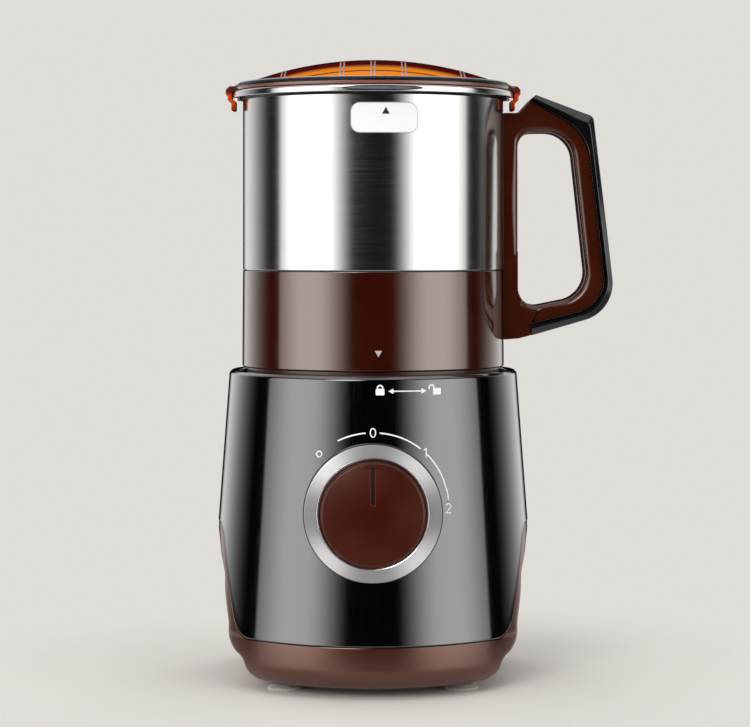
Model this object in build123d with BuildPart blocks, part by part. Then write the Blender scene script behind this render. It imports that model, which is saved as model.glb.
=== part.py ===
from build123d import *
import os
from math import cos, radians, sin, sqrt

# Electric grain mill: a stainless cup with two blades stands in a motor base, turns to lock in its
# socket, and is closed by a domed lid with two hooks. Millimetres. The origin is on the mill's axis
# at the table, +Z is up, the dial faces -Y and the handle points along +X.

# ---------------------------------------------------------------- driving dimensions
# Base: skirt on four suction feet, with a side wing that rises on each side
foot_radius = 7.7
foot_height = 4.0
foot_spacing_x = 79.0
foot_spacing_y = 82.0
foot_stem_radius = 2.5
foot_stem_length = 2.4
skirt_height = 19.2
skirt_radius = 74.3
skirt_foot_radius = 61.5
skirt_foot_rounding = 4.0
skirt_bend_rise = 12.0
skirt_rounding = 14.0
skirt_wall = 3.0
skirt_floor = 3.0
skirt_side_bottom = 59.0
wing_rise = 48.0
wing_step_rise = 27.0
wing_step_half_width = 68.8
wing_inset = 0.3
arch_top_half_width = 22.0
arch_foot_half_width = 45.0
arch_top_rounding = 11.0
arch_foot_rounding = 12.0
seam_gap = 0.3

# Bottom plate, its screws and its vents
plate_radius = 49.7
plate_thickness = 2.5
plate_gap = 0.3
plate_ledge_width = 6.0
screw_circle_radius = 46.5
screw_hole_radius = 1.8
screw_shank_radius = 1.5
screw_head_radius = 3.2
screw_head_height = 1.6
screw_length = 10.0
vent_length = 20.0
vent_width = 3.0
vent_pitch = 6.5
vent_rows = 4
vent_column_spacing = 26.0

# Mains lead gland at the back of the skirt
gland_bore_radius = 3.6
gland_body_radius = 5.6
gland_flange_radius = 7.0
gland_flange_thickness = 1.5
gland_nose_length = 6.0
gland_fit_gap = 0.1
gland_rise = 11.0
gland_pad_radius = 8.0

# Housing: tapered shell with a turned-in lip, mouth_radius wide
housing_height = 117.0
housing_bottom_radius = 75.0
housing_top_radius = 66.3
housing_wall = 2.5
lip_thickness = 2.5
lip_chamfer = 1.2
mouth_radius = 62.0

# Dial: bezel, knob, rotary switch and its nut
knob_height = 81.2
knob_radius = 23.2
knob_wall = 2.0
knob_face_thickness = 2.6
knob_proud = 5.0
knob_boss_radius = 5.5
knob_edge = 1.2
groove_width = 1.6
groove_length = 16.5
groove_depth = 0.8
groove_centre_gap = 3.6
lug_radius = 3.0
lug_height = 0.6
bezel_outer_radius = 30.5
bezel_gap = 0.5
bezel_proud = 3.3
bezel_edge = 0.8
dial_recess = 1.5
dial_pad_radius = 12.0
dial_pad_thickness = 5.2
switch_width = 28.0
switch_depth = 18.0
terminal_spacing = 8.0
switch_neck_radius = 4.9
switch_neck_length = 7.8
switch_nut_radius = 7.2
switch_nut_thickness = 2.2
selector_shaft_radius = 3.0
neck_clearance = 0.1
running_clearance = 0.05

# Control board behind the motor
board_width = 50.0
board_height = 40.0
board_thickness = 1.6
board_centre_height = 80.0
board_distance = 50.0
board_post_radius = 3.0
board_post_inset = 5.0
board_margin = 4.0
supply_width = 18.0
supply_depth = 9.0
supply_height = 14.0
relay_width = 13.0
relay_depth = 12.0
relay_height = 13.0
large_capacitor_radius = 4.0
large_capacitor_height = 12.0
small_capacitor_radius = 2.5
small_capacitor_height = 10.0
small_capacitor_spacing = 6.0

# Socket for the cup, and the ring that turns in it with the cup
socket_depth = 9.5
socket_floor_thickness = 2.5
socket_inner_radius = 60.2
socket_wall = 2.5
socket_hole_radius = 7.0
socket_collar_radius = 10.5
socket_collar_height = 1.3
seat_gap = 0.3
seat_ring_inner_radius = 49.0
seat_ring_side_gap = 0.5
seat_ring_height = 6.1
key_count = 3
key_width = 9.2
key_gap = 0.4
key_inner_radius = 51.0
key_outer_radius = 57.5
key_depth = 5.2
key_azimuth = 30.0

# Interlock: a pin that the locked cup holds down on a microswitch
pin_circle_radius = 40.0
pin_azimuth = 135.0
pin_radius = 2.5
pin_travel = 3.0
pin_gap = 0.3
pin_flange_radius = 4.4
pin_flange_thickness = 1.5
pin_guide_clearance = 0.1
twist_range = 22.5
ramp_width = 8.0
ramp_flat = 5.0
microswitch_width = 20.0
microswitch_thickness = 6.4
microswitch_height = 10.0
microswitch_top_drop = 15.0
tab_thickness = 2.2
spring_wire_radius = 0.4
spring_turns = 4

# Motor, from the top bearing down to the lower one
motor_shaft_radius = 4.0
bearing_radius = 11.0
bearing_height = 7.0
bearing_drop = 5.0
bearing_cup_wall = 3.0
bearing_fit_gap = 0.05
bracket_thickness = 3.0
bracket_half_width = 9.0
bracket_leg_thickness = 5.0
damper_radius = 6.5
damper_height = 4.0
damper_post_radius = 5.0
damper_position = 36.5
fan_radius = 30.0
fan_height = 8.0
fan_disc_thickness = 1.5
fan_blade_count = 9
fan_blade_thickness = 1.6
fan_hub_radius = 9.0
motor_gap = 2.0
stack_height = 36.0
stator_length_x = 80.0
bracket_half_length = stator_length_x / 2
stator_length_y = 70.0
stator_corner = 12.0
stator_back_iron = 7.0
pole_width = 24.0
pole_shoe_radius = 25.0
pole_half_gap = 11.5
air_gap = 0.6
armature_radius = 19.6
armature_slots = 12
slot_width = 3.0
slot_depth = 7.0
winding_overhang = 7.0
winding_clearance = 0.2
field_coil_reach = 7.0
field_coil_clearance = 0.4
commutator_radius = 11.0
commutator_height = 12.0
commutator_gap = 1.0
commutator_slots = 12
commutator_slot_width = 0.6
commutator_slot_depth = 1.2
lower_bearing_gap = 7.0
shaft_tail = 2.0
brush_width = 6.0
brush_height = 8.0
brush_length = 13.0
brush_gap = 0.1
brush_fit_gap = 0.1
brush_holder_wall = 2.0
brush_holder_length = 14.0

# Dog coupling between the motor and the blade shaft
coupling_radius = 15.0
coupling_disc_height = 7.0
coupling_lift = 2.0
driven_disc_height = 6.5
dog_height = 5.0
dog_inner_radius = 6.5
dog_outer_radius = 14.5
dog_count = 3
dog_angle = 30.0
dog_end_gap = 0.5
shaft_fit_gap = 0.02

# Cup: collar, base plate and steel bowl
collar_gap = 1.5
collar_height = 44.3
collar_bottom_radius = 60.5
collar_top_radius = 60.2
collar_wall = 2.5
collar_shelf = 2.3
collar_screw_circle = 54.5
collar_screw_azimuth = 90.0
collar_screw_count = 3
collar_boss_radius = 4.0
collar_boss_height = 20.0
collar_screw_length = 12.0
base_plate_thickness = 2.5
base_plate_radius = 58.5
base_plate_opening = 18.0
cup_radius = 60.2
steel_thickness = 0.8
cup_height = 82.2
cup_seat_gap = 0.1
bowl_step = 3.4
bowl_sink = 14.3
bowl_floor_radius = 46.8
rim_radius = 65.0
rim_drop = 3.1
rim_corner = 0.7
rim_notch_radius = 62.4
rim_notch_angle = 17.0
bowl_hole_radius = 7.2

# Blade bearing under the bowl floor
gasket_thickness = 0.8
bearing_flange_radius = 17.0
bearing_flange_thickness = 2.0
bearing_body_radius = 12.5
bearing_body_gap = 1.5
bearing_neck_radius = 7.0
bearing_nut_radius = 12.0
bearing_nut_height = 4.0
bush_radius = 6.5
bush_height = 6.0
blade_shaft_radius = 4.0
shaft_shoulder_radius = 5.5
shaft_shoulder_height = 3.5
shaft_shoulder_gap = 0.5
blade_thickness = 1.6
blade_width = 15.0
blade_tip_width = 7.0
blade_reach = 44.0
upper_blade_reach = 40.0
blade_flat = 10.0
lower_blade_bend = -4.0
upper_blade_bend = 9.0
blade_spacer_height = 4.4
blade_spacer_radius = 7.0
blade_nut_radius = 6.5
blade_nut_height = 7.0

# Handle on the cup's +X side: brown loop with a black outer grip
handle_half_width = 10.5
grip_half_width = 12.0
handle_wall_gap = 0.1
handle_foot_rise = 12.8
handle_scoop_drop = 9.9
handle_scoop_radius = 66.6
handle_spine_reach = 66.6
handle_edge = 3.0
grip_edge = 1.5
# Its outlines, seen from the front: how far each corner reaches from the axis, its drop below the
# rim or its rise above the collar's foot, and its rounding. First the opening for the fingers
gap_top_reach = 90.6
gap_top_drop = 18.9
gap_lean = 8.2
gap_heel_reach = gap_top_reach + gap_lean
gap_heel_rise = 32.9
gap_foot_rise = 26.4
gap_depth = gap_top_reach - handle_spine_reach
gap_top_rounding = 0.62 * gap_depth
gap_heel_rounding = 13.0
gap_foot_rounding = 8.0
gap_spine_rounding = 0.28 * gap_depth
# the seam between brown and black, as far outside the opening as the brown loop is thick
seam_top_reach = 71.8
seam_top_drop = 4.1
loop_shoulder_thickness = 7.5
seam_shoulder_reach = gap_top_reach + loop_shoulder_thickness
seam_shoulder_drop = gap_top_drop
seam_shoulder_rounding = 25.0
seam_heel_reach = gap_heel_reach + 8.6
seam_heel_rise = gap_heel_rise - 4.3
seam_heel_rounding = 15.6
seam_foot_reach = 69.0
seam_foot_rise = gap_foot_rise - 7.2
# the grip's outside, as far outside the seam as the black grip is thick
grip_top_reach = seam_top_reach + 3.1
grip_top_drop = seam_top_drop - 2.5
grip_shoulder_reach = seam_shoulder_reach + 3.5
grip_shoulder_drop = seam_shoulder_drop - 7.4
grip_shoulder_rounding = 2.5
grip_heel_reach = seam_heel_reach + 4.4
grip_heel_rise = seam_heel_rise - 3.1
grip_heel_rounding = 17.5
grip_foot_reach = seam_foot_reach + 4.0
grip_foot_rise = seam_foot_rise - 4.9
grip_end_rounding = 1.5
handle_screw_rises = (16.0, 24.5)
handle_screw_radius = 1.5
handle_screw_length = 7.0
handle_screw_head_radius = 3.2
handle_screw_head_height = 1.8

# Lid: dome on a flange, with a seal ring and two hooks under the cup's rim
lid_gap = 0.3
lid_flange_radius = 64.0
lid_flange_height = 2.4
lid_flange_slope = 0.8
dome_base_radius = 59.0
dome_base_rise = 3.4
dome_radius = 164.0
lid_wall = 2.0
spigot_radius = 57.8
spigot_wall = 2.0
spigot_length = 6.0
seal_groove_depth = 1.6
seal_groove_height = 3.4
seal_groove_rise = 1.6
seal_gap = 0.3
seal_lip_gap = 0.5
hook_angle = 12.4
hook_knuckle_radius = 68.3
hook_knuckle_drop = 1.4
hook_top_rise = 2.3
hook_arm_radius = 67.4
hook_arm_width = 2.0
hook_nub_drop = 4.3
hook_tip_drop = 9.0
hook_tip_radius = 65.7
hook_tip_width = 2.0

# ---------------------------------------------------------------- heights and radii that follow
skirt_bottom = foot_height
skirt_top = skirt_bottom + skirt_height
housing_bottom = skirt_top + seam_gap
housing_top = housing_bottom + housing_height
wing_top = skirt_top + wing_rise
wing_step = skirt_top + wing_step_rise
socket_top = housing_top - lip_thickness
socket_floor_top = socket_top - socket_depth
socket_floor_bottom = socket_floor_top - socket_floor_thickness
seat_ring_bottom = socket_floor_top + seat_gap
seat_ring_top = seat_ring_bottom + seat_ring_height
seat_ring_radius = socket_inner_radius - seat_ring_side_gap

collar_bottom = housing_top + collar_gap
collar_top = collar_bottom + collar_height
base_plate_bottom = collar_bottom - base_plate_thickness
cup_foot_bottom = seat_ring_top + seat_gap
bowl_floor_bottom = collar_top - bowl_sink
bowl_floor_top = bowl_floor_bottom + steel_thickness
rim_top = collar_top + cup_height
rim_bottom = rim_top - rim_drop
bowl_radius = cup_radius - bowl_step

upper_bearing_top = socket_floor_bottom - bearing_drop
upper_bearing_bottom = upper_bearing_top - bearing_height
upper_plate_bottom = upper_bearing_bottom - 1.0
fan_top = upper_plate_bottom - motor_gap
fan_bottom = fan_top - fan_height
winding_top = fan_bottom - motor_gap
stack_top = winding_top - winding_overhang
stack_bottom = stack_top - stack_height
winding_bottom = stack_bottom - winding_overhang
commutator_top = winding_bottom - commutator_gap
commutator_bottom = commutator_top - commutator_height
lower_bearing_top = commutator_bottom - lower_bearing_gap
lower_bearing_bottom = lower_bearing_top - bearing_height
lower_plate_bottom = lower_bearing_top - bracket_thickness
shaft_bottom = lower_bearing_bottom - shaft_tail

drive_bottom = socket_floor_top + coupling_lift
drive_top = drive_bottom + coupling_disc_height
driven_dog_bottom = drive_top + dog_end_gap
driven_bottom = driven_dog_bottom + dog_height
driven_top = driven_bottom + driven_disc_height
bearing_body_bottom = driven_top + bearing_body_gap
bearing_flange_top = bowl_floor_bottom - gasket_thickness
bearing_flange_bottom = bearing_flange_top - bearing_flange_thickness
bearing_nut_top = bowl_floor_top + bearing_nut_height
shoulder_bottom = bearing_nut_top + shaft_shoulder_gap
lower_blade_bottom = shoulder_bottom + shaft_shoulder_height
lower_blade_top = lower_blade_bottom + blade_thickness
upper_blade_bottom = lower_blade_top + blade_spacer_height
upper_blade_top = upper_blade_bottom + blade_thickness
shaft_bore_radius = blade_shaft_radius + running_clearance

pin_ramp_bottom = base_plate_bottom - pin_travel
pin_top = pin_ramp_bottom - pin_gap
microswitch_top = socket_floor_bottom - microswitch_top_drop
pin_flange_top = socket_floor_bottom - pin_travel - 1.0
tab_radius = pin_circle_radius + pin_flange_radius + 0.3

knob_gap_radius = knob_radius + bezel_gap
lid_bottom = rim_top + lid_gap
dome_base = lid_bottom + dome_base_rise
dome_centre = dome_base - sqrt(dome_radius**2 - dome_base_radius**2)


def housing_radius(height):
    """Outer radius of the tapered housing at a height."""
    taper = (housing_bottom_radius - housing_top_radius) / housing_height
    return housing_top_radius + (housing_top - height) * taper


dial_flat = housing_radius(knob_height) - dial_recess
bezel_front = housing_radius(knob_height) + bezel_proud
knob_front = bezel_front + knob_proud
switch_front = dial_flat - dial_pad_thickness


# ---------------------------------------------------------------- shared shapes
def radial_plane(azimuth, height=0.0):
    """Upright plane through the axis: its x runs outwards at the azimuth, its y runs up."""
    a = radians(azimuth)
    return Plane(origin=(0, 0, height), x_dir=(cos(a), sin(a), 0), z_dir=(sin(a), -cos(a), 0))


def turned_level(azimuth, height):
    """Level plane at a height whose x runs outwards at the azimuth."""
    a = radians(azimuth)
    return Plane(origin=(0, 0, height), x_dir=(cos(a), sin(a), 0), z_dir=(0, 0, 1))


def front_plane(distance):
    """Upright plane in front of the axis, facing the front."""
    return Plane.XZ.offset(distance)


def turned(*corners, mode=Mode.ADD):
    """Body of revolution about the axis. A corner of its half section is (radius, height) or
    (radius, height, rounding). A corner that repeats the one before it is left out."""
    corners = [c for i, c in enumerate(corners) if c[:2] != corners[i - 1][:2]]
    with BuildSketch(Plane.XZ) as half:
        with BuildLine():
            rounding = [c[2] if len(c) > 2 else 0 for c in corners]
            FilletPolyline(*[c[:2] for c in corners], radius=rounding, close=True)
        make_face()
    revolve(half.sketch, axis=Axis.Z, mode=mode)


def ring(outer, inner, low, high, mode=Mode.ADD):
    """Flat-ended ring about the axis, or a disc when inner is zero."""
    with BuildSketch(Plane.XY.offset(low)) as flat:
        Circle(outer)
        if inner > 0:
            Circle(inner, mode=Mode.SUBTRACT)
    extrude(flat.sketch, amount=high - low, mode=mode)


def rods(radius, low, high, places, mode=Mode.ADD):
    """Upright round bars at the given (x, y) places."""
    with BuildSketch(Plane.XY.offset(low)) as flat:
        with Locations(*places):
            Circle(radius)
    extrude(flat.sketch, amount=high - low, mode=mode)


def slab(length, width, low, high, place=(0, 0), mode=Mode.ADD):
    """Upright rectangular block centred on an (x, y) place."""
    with BuildSketch(Plane.XY.offset(low)) as flat:
        with Locations(place):
            Rectangle(length, width)
    extrude(flat.sketch, amount=high - low, mode=mode)


def front_disc(outer, inner, near, far, height=knob_height, mode=Mode.ADD):
    """Ring about a level axis through the dial, from distance near out to distance far in front."""
    with BuildSketch(front_plane(near)) as flat:
        with Locations((0, height)):
            Circle(outer)
            if inner > 0:
                Circle(inner, mode=Mode.SUBTRACT)
    extrude(flat.sketch, amount=far - near, mode=mode)


def around(count, radius, start):
    """(x, y) places spread evenly on a circle."""
    step = 360.0 / count
    angles = [radians(start + step * i) for i in range(count)]
    return [(radius * cos(a), radius * sin(a)) for a in angles]


def side_arch(inset):
    """Side opening of the housing, seen along X: a rounded top on sloping sides that flare out to
    level at the foot. inset moves its outline inwards."""
    top = wing_top - inset
    foot = skirt_top - 2.0
    top_half = arch_top_half_width - 1.2 * inset
    foot_half = arch_foot_half_width - 1.2 * inset
    corners = [
        (-skirt_radius, foot, 0),
        (-skirt_radius, skirt_top - inset, 0),
        (-foot_half, skirt_top - inset, arch_foot_rounding),
        (-top_half, top, arch_top_rounding),
        (top_half, top, arch_top_rounding),
        (foot_half, skirt_top - inset, arch_foot_rounding),
        (skirt_radius, skirt_top - inset, 0),
        (skirt_radius, foot, 0),
    ]
    with BuildSketch(Plane.YZ) as arch:
        with BuildLine():
            FilletPolyline(*[c[:2] for c in corners], radius=[c[2] for c in corners], close=True)
        make_face()
    return arch


def finish(piece, name):
    """Labels a finished piece and writes it."""
    piece.part.label = name
    export_step(piece.part, f"parts/{name}.step")


os.makedirs("parts", exist_ok=True)
screw_places = around(4, screw_circle_radius, 0.0)
damper_places = [(damper_position, 0), (-damper_position, 0)]
foot_places = [
    (x * foot_spacing_x / 2, y * foot_spacing_y / 2) for x in (-1, 1) for y in (-1, 1)
]
ledge_radius = plate_radius + plate_gap - plate_ledge_width
plate_top = skirt_bottom + 0.5 + plate_thickness
ledge_top = plate_top + 2.0
gland_height = skirt_bottom + gland_rise

# ---------------------------------------------------------------- base
with BuildPart() as base_skirt:
    turned(
        (0, skirt_bottom),
        (skirt_foot_radius, skirt_bottom, skirt_foot_rounding),
        (skirt_radius - 0.2, skirt_bottom + skirt_bend_rise, skirt_rounding),
        (skirt_radius, skirt_top),
        (housing_radius(skirt_top) - wing_inset, skirt_top),
        (housing_radius(wing_top + 5) - wing_inset, wing_top + 5),
        (0, wing_top + 5),
    )
    # the two sides are cut to a gently bowed outline, seen from the front
    with BuildSketch(Plane.XZ) as front_outline:
        with BuildLine():
            bow = Spline(
                (skirt_radius + 2, wing_top + 2),
                (wing_step_half_width + 1.8, wing_step + 6),
                (wing_step_half_width, wing_step - 1),
                (wing_step_half_width - 1.6, skirt_top),
                (wing_step_half_width - 3.3, skirt_bottom + 8.5),
            )
            Polyline(bow @ 1, (skirt_side_bottom + 1, skirt_bottom + 3), (skirt_side_bottom, skirt_bottom))
            Line((skirt_side_bottom, skirt_bottom), (0, skirt_bottom))
            Polyline((0, skirt_bottom), (0, wing_top + 2), bow @ 0)
        make_face()
        mirror(about=Plane.YZ)
    extrude(front_outline.sketch, amount=skirt_radius + 5, both=True, mode=Mode.INTERSECT)
    # above the skirt only the wings inside the side arches are left
    with BuildSketch(Plane.YZ) as around_arch:
        with Locations((0, skirt_top + wing_rise)):
            Rectangle(4 * skirt_radius, 2 * wing_rise)
        add(side_arch(seam_gap).sketch_local, mode=Mode.SUBTRACT)
    extrude(around_arch.sketch, amount=skirt_radius + 5, both=True, mode=Mode.SUBTRACT)
    # hollow: a tapered bore for the wings over a straight one for the skirt
    bore = wing_step_half_width - skirt_wall - 5.0
    turned(
        (0, skirt_bottom + skirt_floor + 1),
        (skirt_side_bottom - skirt_wall, skirt_bottom + skirt_floor + 1, 3.0),
        (bore, skirt_top - 5),
        (bore + 2.0, skirt_top),
        (housing_radius(wing_step) - 2 * housing_wall - 2.5, wing_step),
        (housing_radius(wing_top) - housing_wall - 1.0, wing_top + 6),
        (0, wing_top + 6),
        mode=Mode.SUBTRACT,
    )
    ring(plate_radius + plate_gap, 0, skirt_bottom, plate_top, mode=Mode.SUBTRACT)
    ring(ledge_radius, 0, plate_top, ledge_top + 5, mode=Mode.SUBTRACT)
    rods(4.0, plate_top, plate_top + screw_length, screw_places)
    rods(screw_hole_radius - 0.2, plate_top, plate_top + screw_length, screw_places, mode=Mode.SUBTRACT)
    rods(
        foot_stem_radius + 0.1,
        skirt_bottom,
        skirt_bottom + foot_stem_length + 0.2,
        foot_places,
        mode=Mode.SUBTRACT,
    )
    # a flat pad for the lead's gland on the sloping back
    front_disc(gland_pad_radius, 0, -skirt_radius, skirt_wall - bore, gland_height)
    front_disc(
        gland_body_radius + gland_fit_gap, 0, -skirt_radius - 5, -bore + 8, gland_height, mode=Mode.SUBTRACT
    )
finish(base_skirt, "base_skirt")

with BuildPart() as bottom_plate:
    ring(plate_radius, 0, plate_top - plate_thickness, plate_top)
    rods(screw_hole_radius, skirt_bottom, plate_top, screw_places, mode=Mode.SUBTRACT)
    with BuildSketch(Plane.XY.offset(plate_top - plate_thickness)) as vents:
        with GridLocations(vent_column_spacing, vent_pitch, 2, vent_rows):
            SlotOverall(vent_length, vent_width)
    extrude(vents.sketch, amount=plate_thickness, mode=Mode.SUBTRACT)
    rods(damper_post_radius, plate_top, lower_plate_bottom - damper_height, damper_places)
finish(bottom_plate, "bottom_plate")

with BuildPart() as bottom_screws:
    head_bottom = plate_top - plate_thickness - screw_head_height
    rods(screw_head_radius, head_bottom, head_bottom + screw_head_height, screw_places)
    rods(screw_shank_radius, head_bottom, head_bottom + screw_length, screw_places)
finish(bottom_screws, "bottom_screws")

with BuildPart() as suction_feet:
    for x, y in foot_places:
        with BuildSketch(Plane(origin=(x, y, 0), x_dir=(1, 0, 0), z_dir=(0, -1, 0))) as half_foot:
            with BuildLine():
                Polyline(
                    (0, foot_height + foot_stem_length),
                    (foot_stem_radius, foot_height + foot_stem_length),
                    (foot_stem_radius, foot_height),
                    (foot_radius - 1.2, foot_height),
                    (foot_radius - 1.2, foot_height - 1.2),
                    (foot_radius, 1.2),
                    (foot_radius, 0),
                    (foot_radius - 1.6, 0),
                    (foot_radius - 2.4, 1.2),
                    (0, 2.0),
                    close=True,
                )
            make_face()
        revolve(half_foot.sketch, axis=Axis((x, y, 0), (0, 0, 1)))
finish(suction_feet, "suction_feet")

with BuildPart() as cord_gland:
    wall_out = -skirt_radius
    wall_in = wall_out + skirt_wall + 4.0
    front_disc(gland_body_radius, gland_bore_radius, wall_out - gland_nose_length, wall_in, gland_height)
    front_disc(
        gland_flange_radius,
        gland_bore_radius,
        wall_out - gland_flange_thickness - 0.3,
        wall_out - 0.3,
        gland_height,
    )
    chamfer(cord_gland.edges().group_by(Axis.Y)[-1].sort_by(SortBy.RADIUS)[-1], 1.0)
finish(cord_gland, "cord_gland")

# ---------------------------------------------------------------- housing
with BuildPart() as host_housing:
    turned(
        (housing_bottom_radius, housing_bottom),
        (housing_radius(housing_top - lip_chamfer), housing_top - lip_chamfer),
        (housing_top_radius - lip_chamfer, housing_top),
        (mouth_radius, housing_top),
        (mouth_radius, socket_top),
        (housing_radius(socket_top) - housing_wall, socket_top),
        (housing_bottom_radius - housing_wall, housing_bottom),
    )
    extrude(side_arch(0.0).sketch, amount=housing_bottom_radius + 5, both=True, mode=Mode.SUBTRACT)
    # flat seat for the dial, with a pad behind it for the switch
    front_disc(dial_pad_radius, 0, switch_front, dial_flat + 0.5)
    front_disc(knob_gap_radius - 0.2, 0, dial_flat, dial_flat + 10, mode=Mode.SUBTRACT)
    front_disc(switch_neck_radius + neck_clearance, 0, switch_front - 1, dial_flat + 1, mode=Mode.SUBTRACT)
    # posts for the control board
    for side in (-1, 1):
        for end in (-1, 1):
            x = side * (board_width / 2 - board_post_inset)
            z = board_centre_height + end * (board_height / 2 - board_post_inset)
            wall = sqrt((housing_radius(z) - housing_wall * 0.6) ** 2 - x**2)
            with BuildSketch(front_plane(-wall)) as post:
                with Locations((x, z)):
                    Circle(board_post_radius)
            extrude(post.sketch, amount=wall - board_distance - board_thickness)
finish(host_housing, "host_housing")

with BuildPart() as dial_bezel:
    front_disc(bezel_outer_radius, knob_gap_radius, dial_flat - bezel_outer_radius / 3, bezel_front)
    chamfer(dial_bezel.edges().group_by(Axis.Y)[0], bezel_edge)
    turned(
        (0, knob_height - 2 * bezel_outer_radius),
        (housing_radius(knob_height - 2 * bezel_outer_radius) + 0.05, knob_height - 2 * bezel_outer_radius),
        (housing_radius(knob_height + 2 * bezel_outer_radius) + 0.05, knob_height + 2 * bezel_outer_radius),
        (0, knob_height + 2 * bezel_outer_radius),
        mode=Mode.SUBTRACT,
    )
finish(dial_bezel, "dial_bezel")

# ---------------------------------------------------------------- dial
with BuildPart() as switch_body:
    with BuildSketch(front_plane(switch_front - switch_depth)) as case:
        with Locations((0, knob_height)):
            RectangleRounded(switch_width, switch_width, 3.0)
    extrude(case.sketch, amount=switch_depth)
    front_disc(switch_neck_radius, 0, switch_front, switch_front + switch_neck_length)
    front_disc(
        selector_shaft_radius + running_clearance,
        0,
        switch_front - switch_depth / 2,
        knob_front,
        mode=Mode.SUBTRACT,
    )
    # terminal blades at the back
    for x in (-terminal_spacing, 0.0, terminal_spacing):
        with BuildSketch(front_plane(switch_front - switch_depth)) as blade:
            with Locations((x, knob_height)):
                Rectangle(4.8, 0.8)
        extrude(blade.sketch, amount=-5.0)
finish(switch_body, "switch_body")

with BuildPart() as switch_nut:
    with BuildSketch(front_plane(dial_flat)) as hexagon:
        with Locations((0, knob_height)):
            RegularPolygon(switch_nut_radius, 6)
            Circle(switch_neck_radius + neck_clearance, mode=Mode.SUBTRACT)
    extrude(hexagon.sketch, amount=switch_nut_thickness)
finish(switch_nut, "switch_nut")

knob_back = dial_flat + 1.0
knob_shaft_end = knob_front - knob_face_thickness
with BuildPart() as switch_knob:
    front_disc(knob_radius, 0, knob_back, knob_front)
    chamfer(switch_knob.edges().group_by(Axis.Y)[0], knob_edge)
    front_disc(
        knob_radius - knob_wall, knob_boss_radius, knob_back, knob_front - knob_face_thickness, mode=Mode.SUBTRACT
    )
    front_disc(
        knob_boss_radius + 0.1, 0, knob_back, dial_flat + switch_nut_thickness + 1.6, mode=Mode.SUBTRACT
    )
    front_disc(selector_shaft_radius, 0, knob_back, knob_shaft_end, mode=Mode.SUBTRACT)
    # pointer groove with a small half-round lug at its outer end
    groove_middle = knob_height + groove_centre_gap + groove_length / 2
    with BuildSketch(front_plane(knob_front - groove_depth)) as groove:
        with Locations((0, groove_middle)):
            SlotOverall(groove_length, groove_width, rotation=90)
    extrude(groove.sketch, amount=groove_depth, mode=Mode.SUBTRACT)
    with BuildSketch(front_plane(knob_front)) as lug:
        with Locations((0, knob_height + knob_radius - knob_edge - 1.4)):
            Circle(lug_radius)
            Rectangle(2 * lug_radius, lug_radius, align=(Align.CENTER, Align.MAX), mode=Mode.SUBTRACT)
        with Locations((0, knob_height)):
            Circle(knob_radius - knob_edge - 0.2, mode=Mode.INTERSECT)
    extrude(lug.sketch, amount=lug_height)
finish(switch_knob, "switch_knob")

with BuildPart() as selector_shaft:
    front_disc(selector_shaft_radius, 0, switch_front - switch_depth / 2 + 0.5, knob_shaft_end)
finish(selector_shaft, "selector_shaft")

# ---------------------------------------------------------------- control board
board_low = board_centre_height - board_height / 2
with BuildPart() as circuit_board:
    slab(board_width, board_thickness, board_low, board_low + board_height, (0, board_distance + board_thickness / 2))
finish(circuit_board, "circuit_board")

with BuildPart() as board_components:
    face = board_distance
    column = board_width / 4
    low_row = board_low + board_margin
    high_row = board_centre_height + board_margin / 2
    slab(supply_width, supply_depth, low_row, low_row + supply_height, (-column, face - supply_depth / 2))
    slab(relay_width, relay_depth, high_row, high_row + relay_height, (column, face - relay_depth / 2))
    rods(
        large_capacitor_radius,
        low_row,
        low_row + large_capacitor_height,
        [(column, face - large_capacitor_radius)],
    )
    rods(
        small_capacitor_radius,
        high_row,
        high_row + small_capacitor_height,
        [(-column + side * small_capacitor_spacing / 2, face - small_capacitor_radius) for side in (-1, 1)],
    )
finish(board_components, "board_components")

# ---------------------------------------------------------------- socket and seat ring
tab_low = microswitch_top - microswitch_height - 2
with BuildPart() as cup_socket:
    turned(
        (socket_hole_radius, socket_floor_bottom),
        (socket_inner_radius + socket_wall, socket_floor_bottom),
        (socket_inner_radius + socket_wall, socket_top),
        (socket_inner_radius, socket_top),
        (socket_inner_radius, socket_floor_top),
        (socket_collar_radius, socket_floor_top),
        (socket_collar_radius, socket_floor_top + socket_collar_height),
        (socket_hole_radius, socket_floor_top + socket_collar_height),
    )
    rods(damper_post_radius, upper_plate_bottom + bracket_thickness + damper_height, socket_floor_bottom, damper_places)
    # tab that carries the microswitch, and the hole for the interlock pin
    with BuildSketch(turned_level(pin_azimuth, tab_low)) as tab:
        with Locations((tab_radius + tab_thickness / 2, 0)):
            Rectangle(tab_thickness, microswitch_width)
    extrude(tab.sketch, amount=socket_floor_bottom - tab_low)
    with BuildSketch(turned_level(pin_azimuth, socket_floor_bottom)) as pin_hole:
        with Locations((pin_circle_radius, 0)):
            Circle(pin_radius + pin_guide_clearance)
    extrude(pin_hole.sketch, amount=socket_floor_thickness, mode=Mode.SUBTRACT)
finish(cup_socket, "cup_socket")

with BuildPart() as cup_seat_ring:
    ring(seat_ring_radius, seat_ring_inner_radius, seat_ring_bottom, seat_ring_top)
    for i in range(key_count):
        notch_level = cup_foot_bottom - key_depth - key_gap
        with BuildSketch(turned_level(key_azimuth + i * 360 / key_count, notch_level)) as notch:
            with Locations(((key_inner_radius + key_outer_radius) / 2, 0)):
                Rectangle(key_outer_radius - key_inner_radius + 2 * key_gap, key_width + 2 * key_gap)
        extrude(notch.sketch, amount=2 * seat_ring_height, mode=Mode.SUBTRACT)
finish(cup_seat_ring, "cup_seat_ring")

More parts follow.
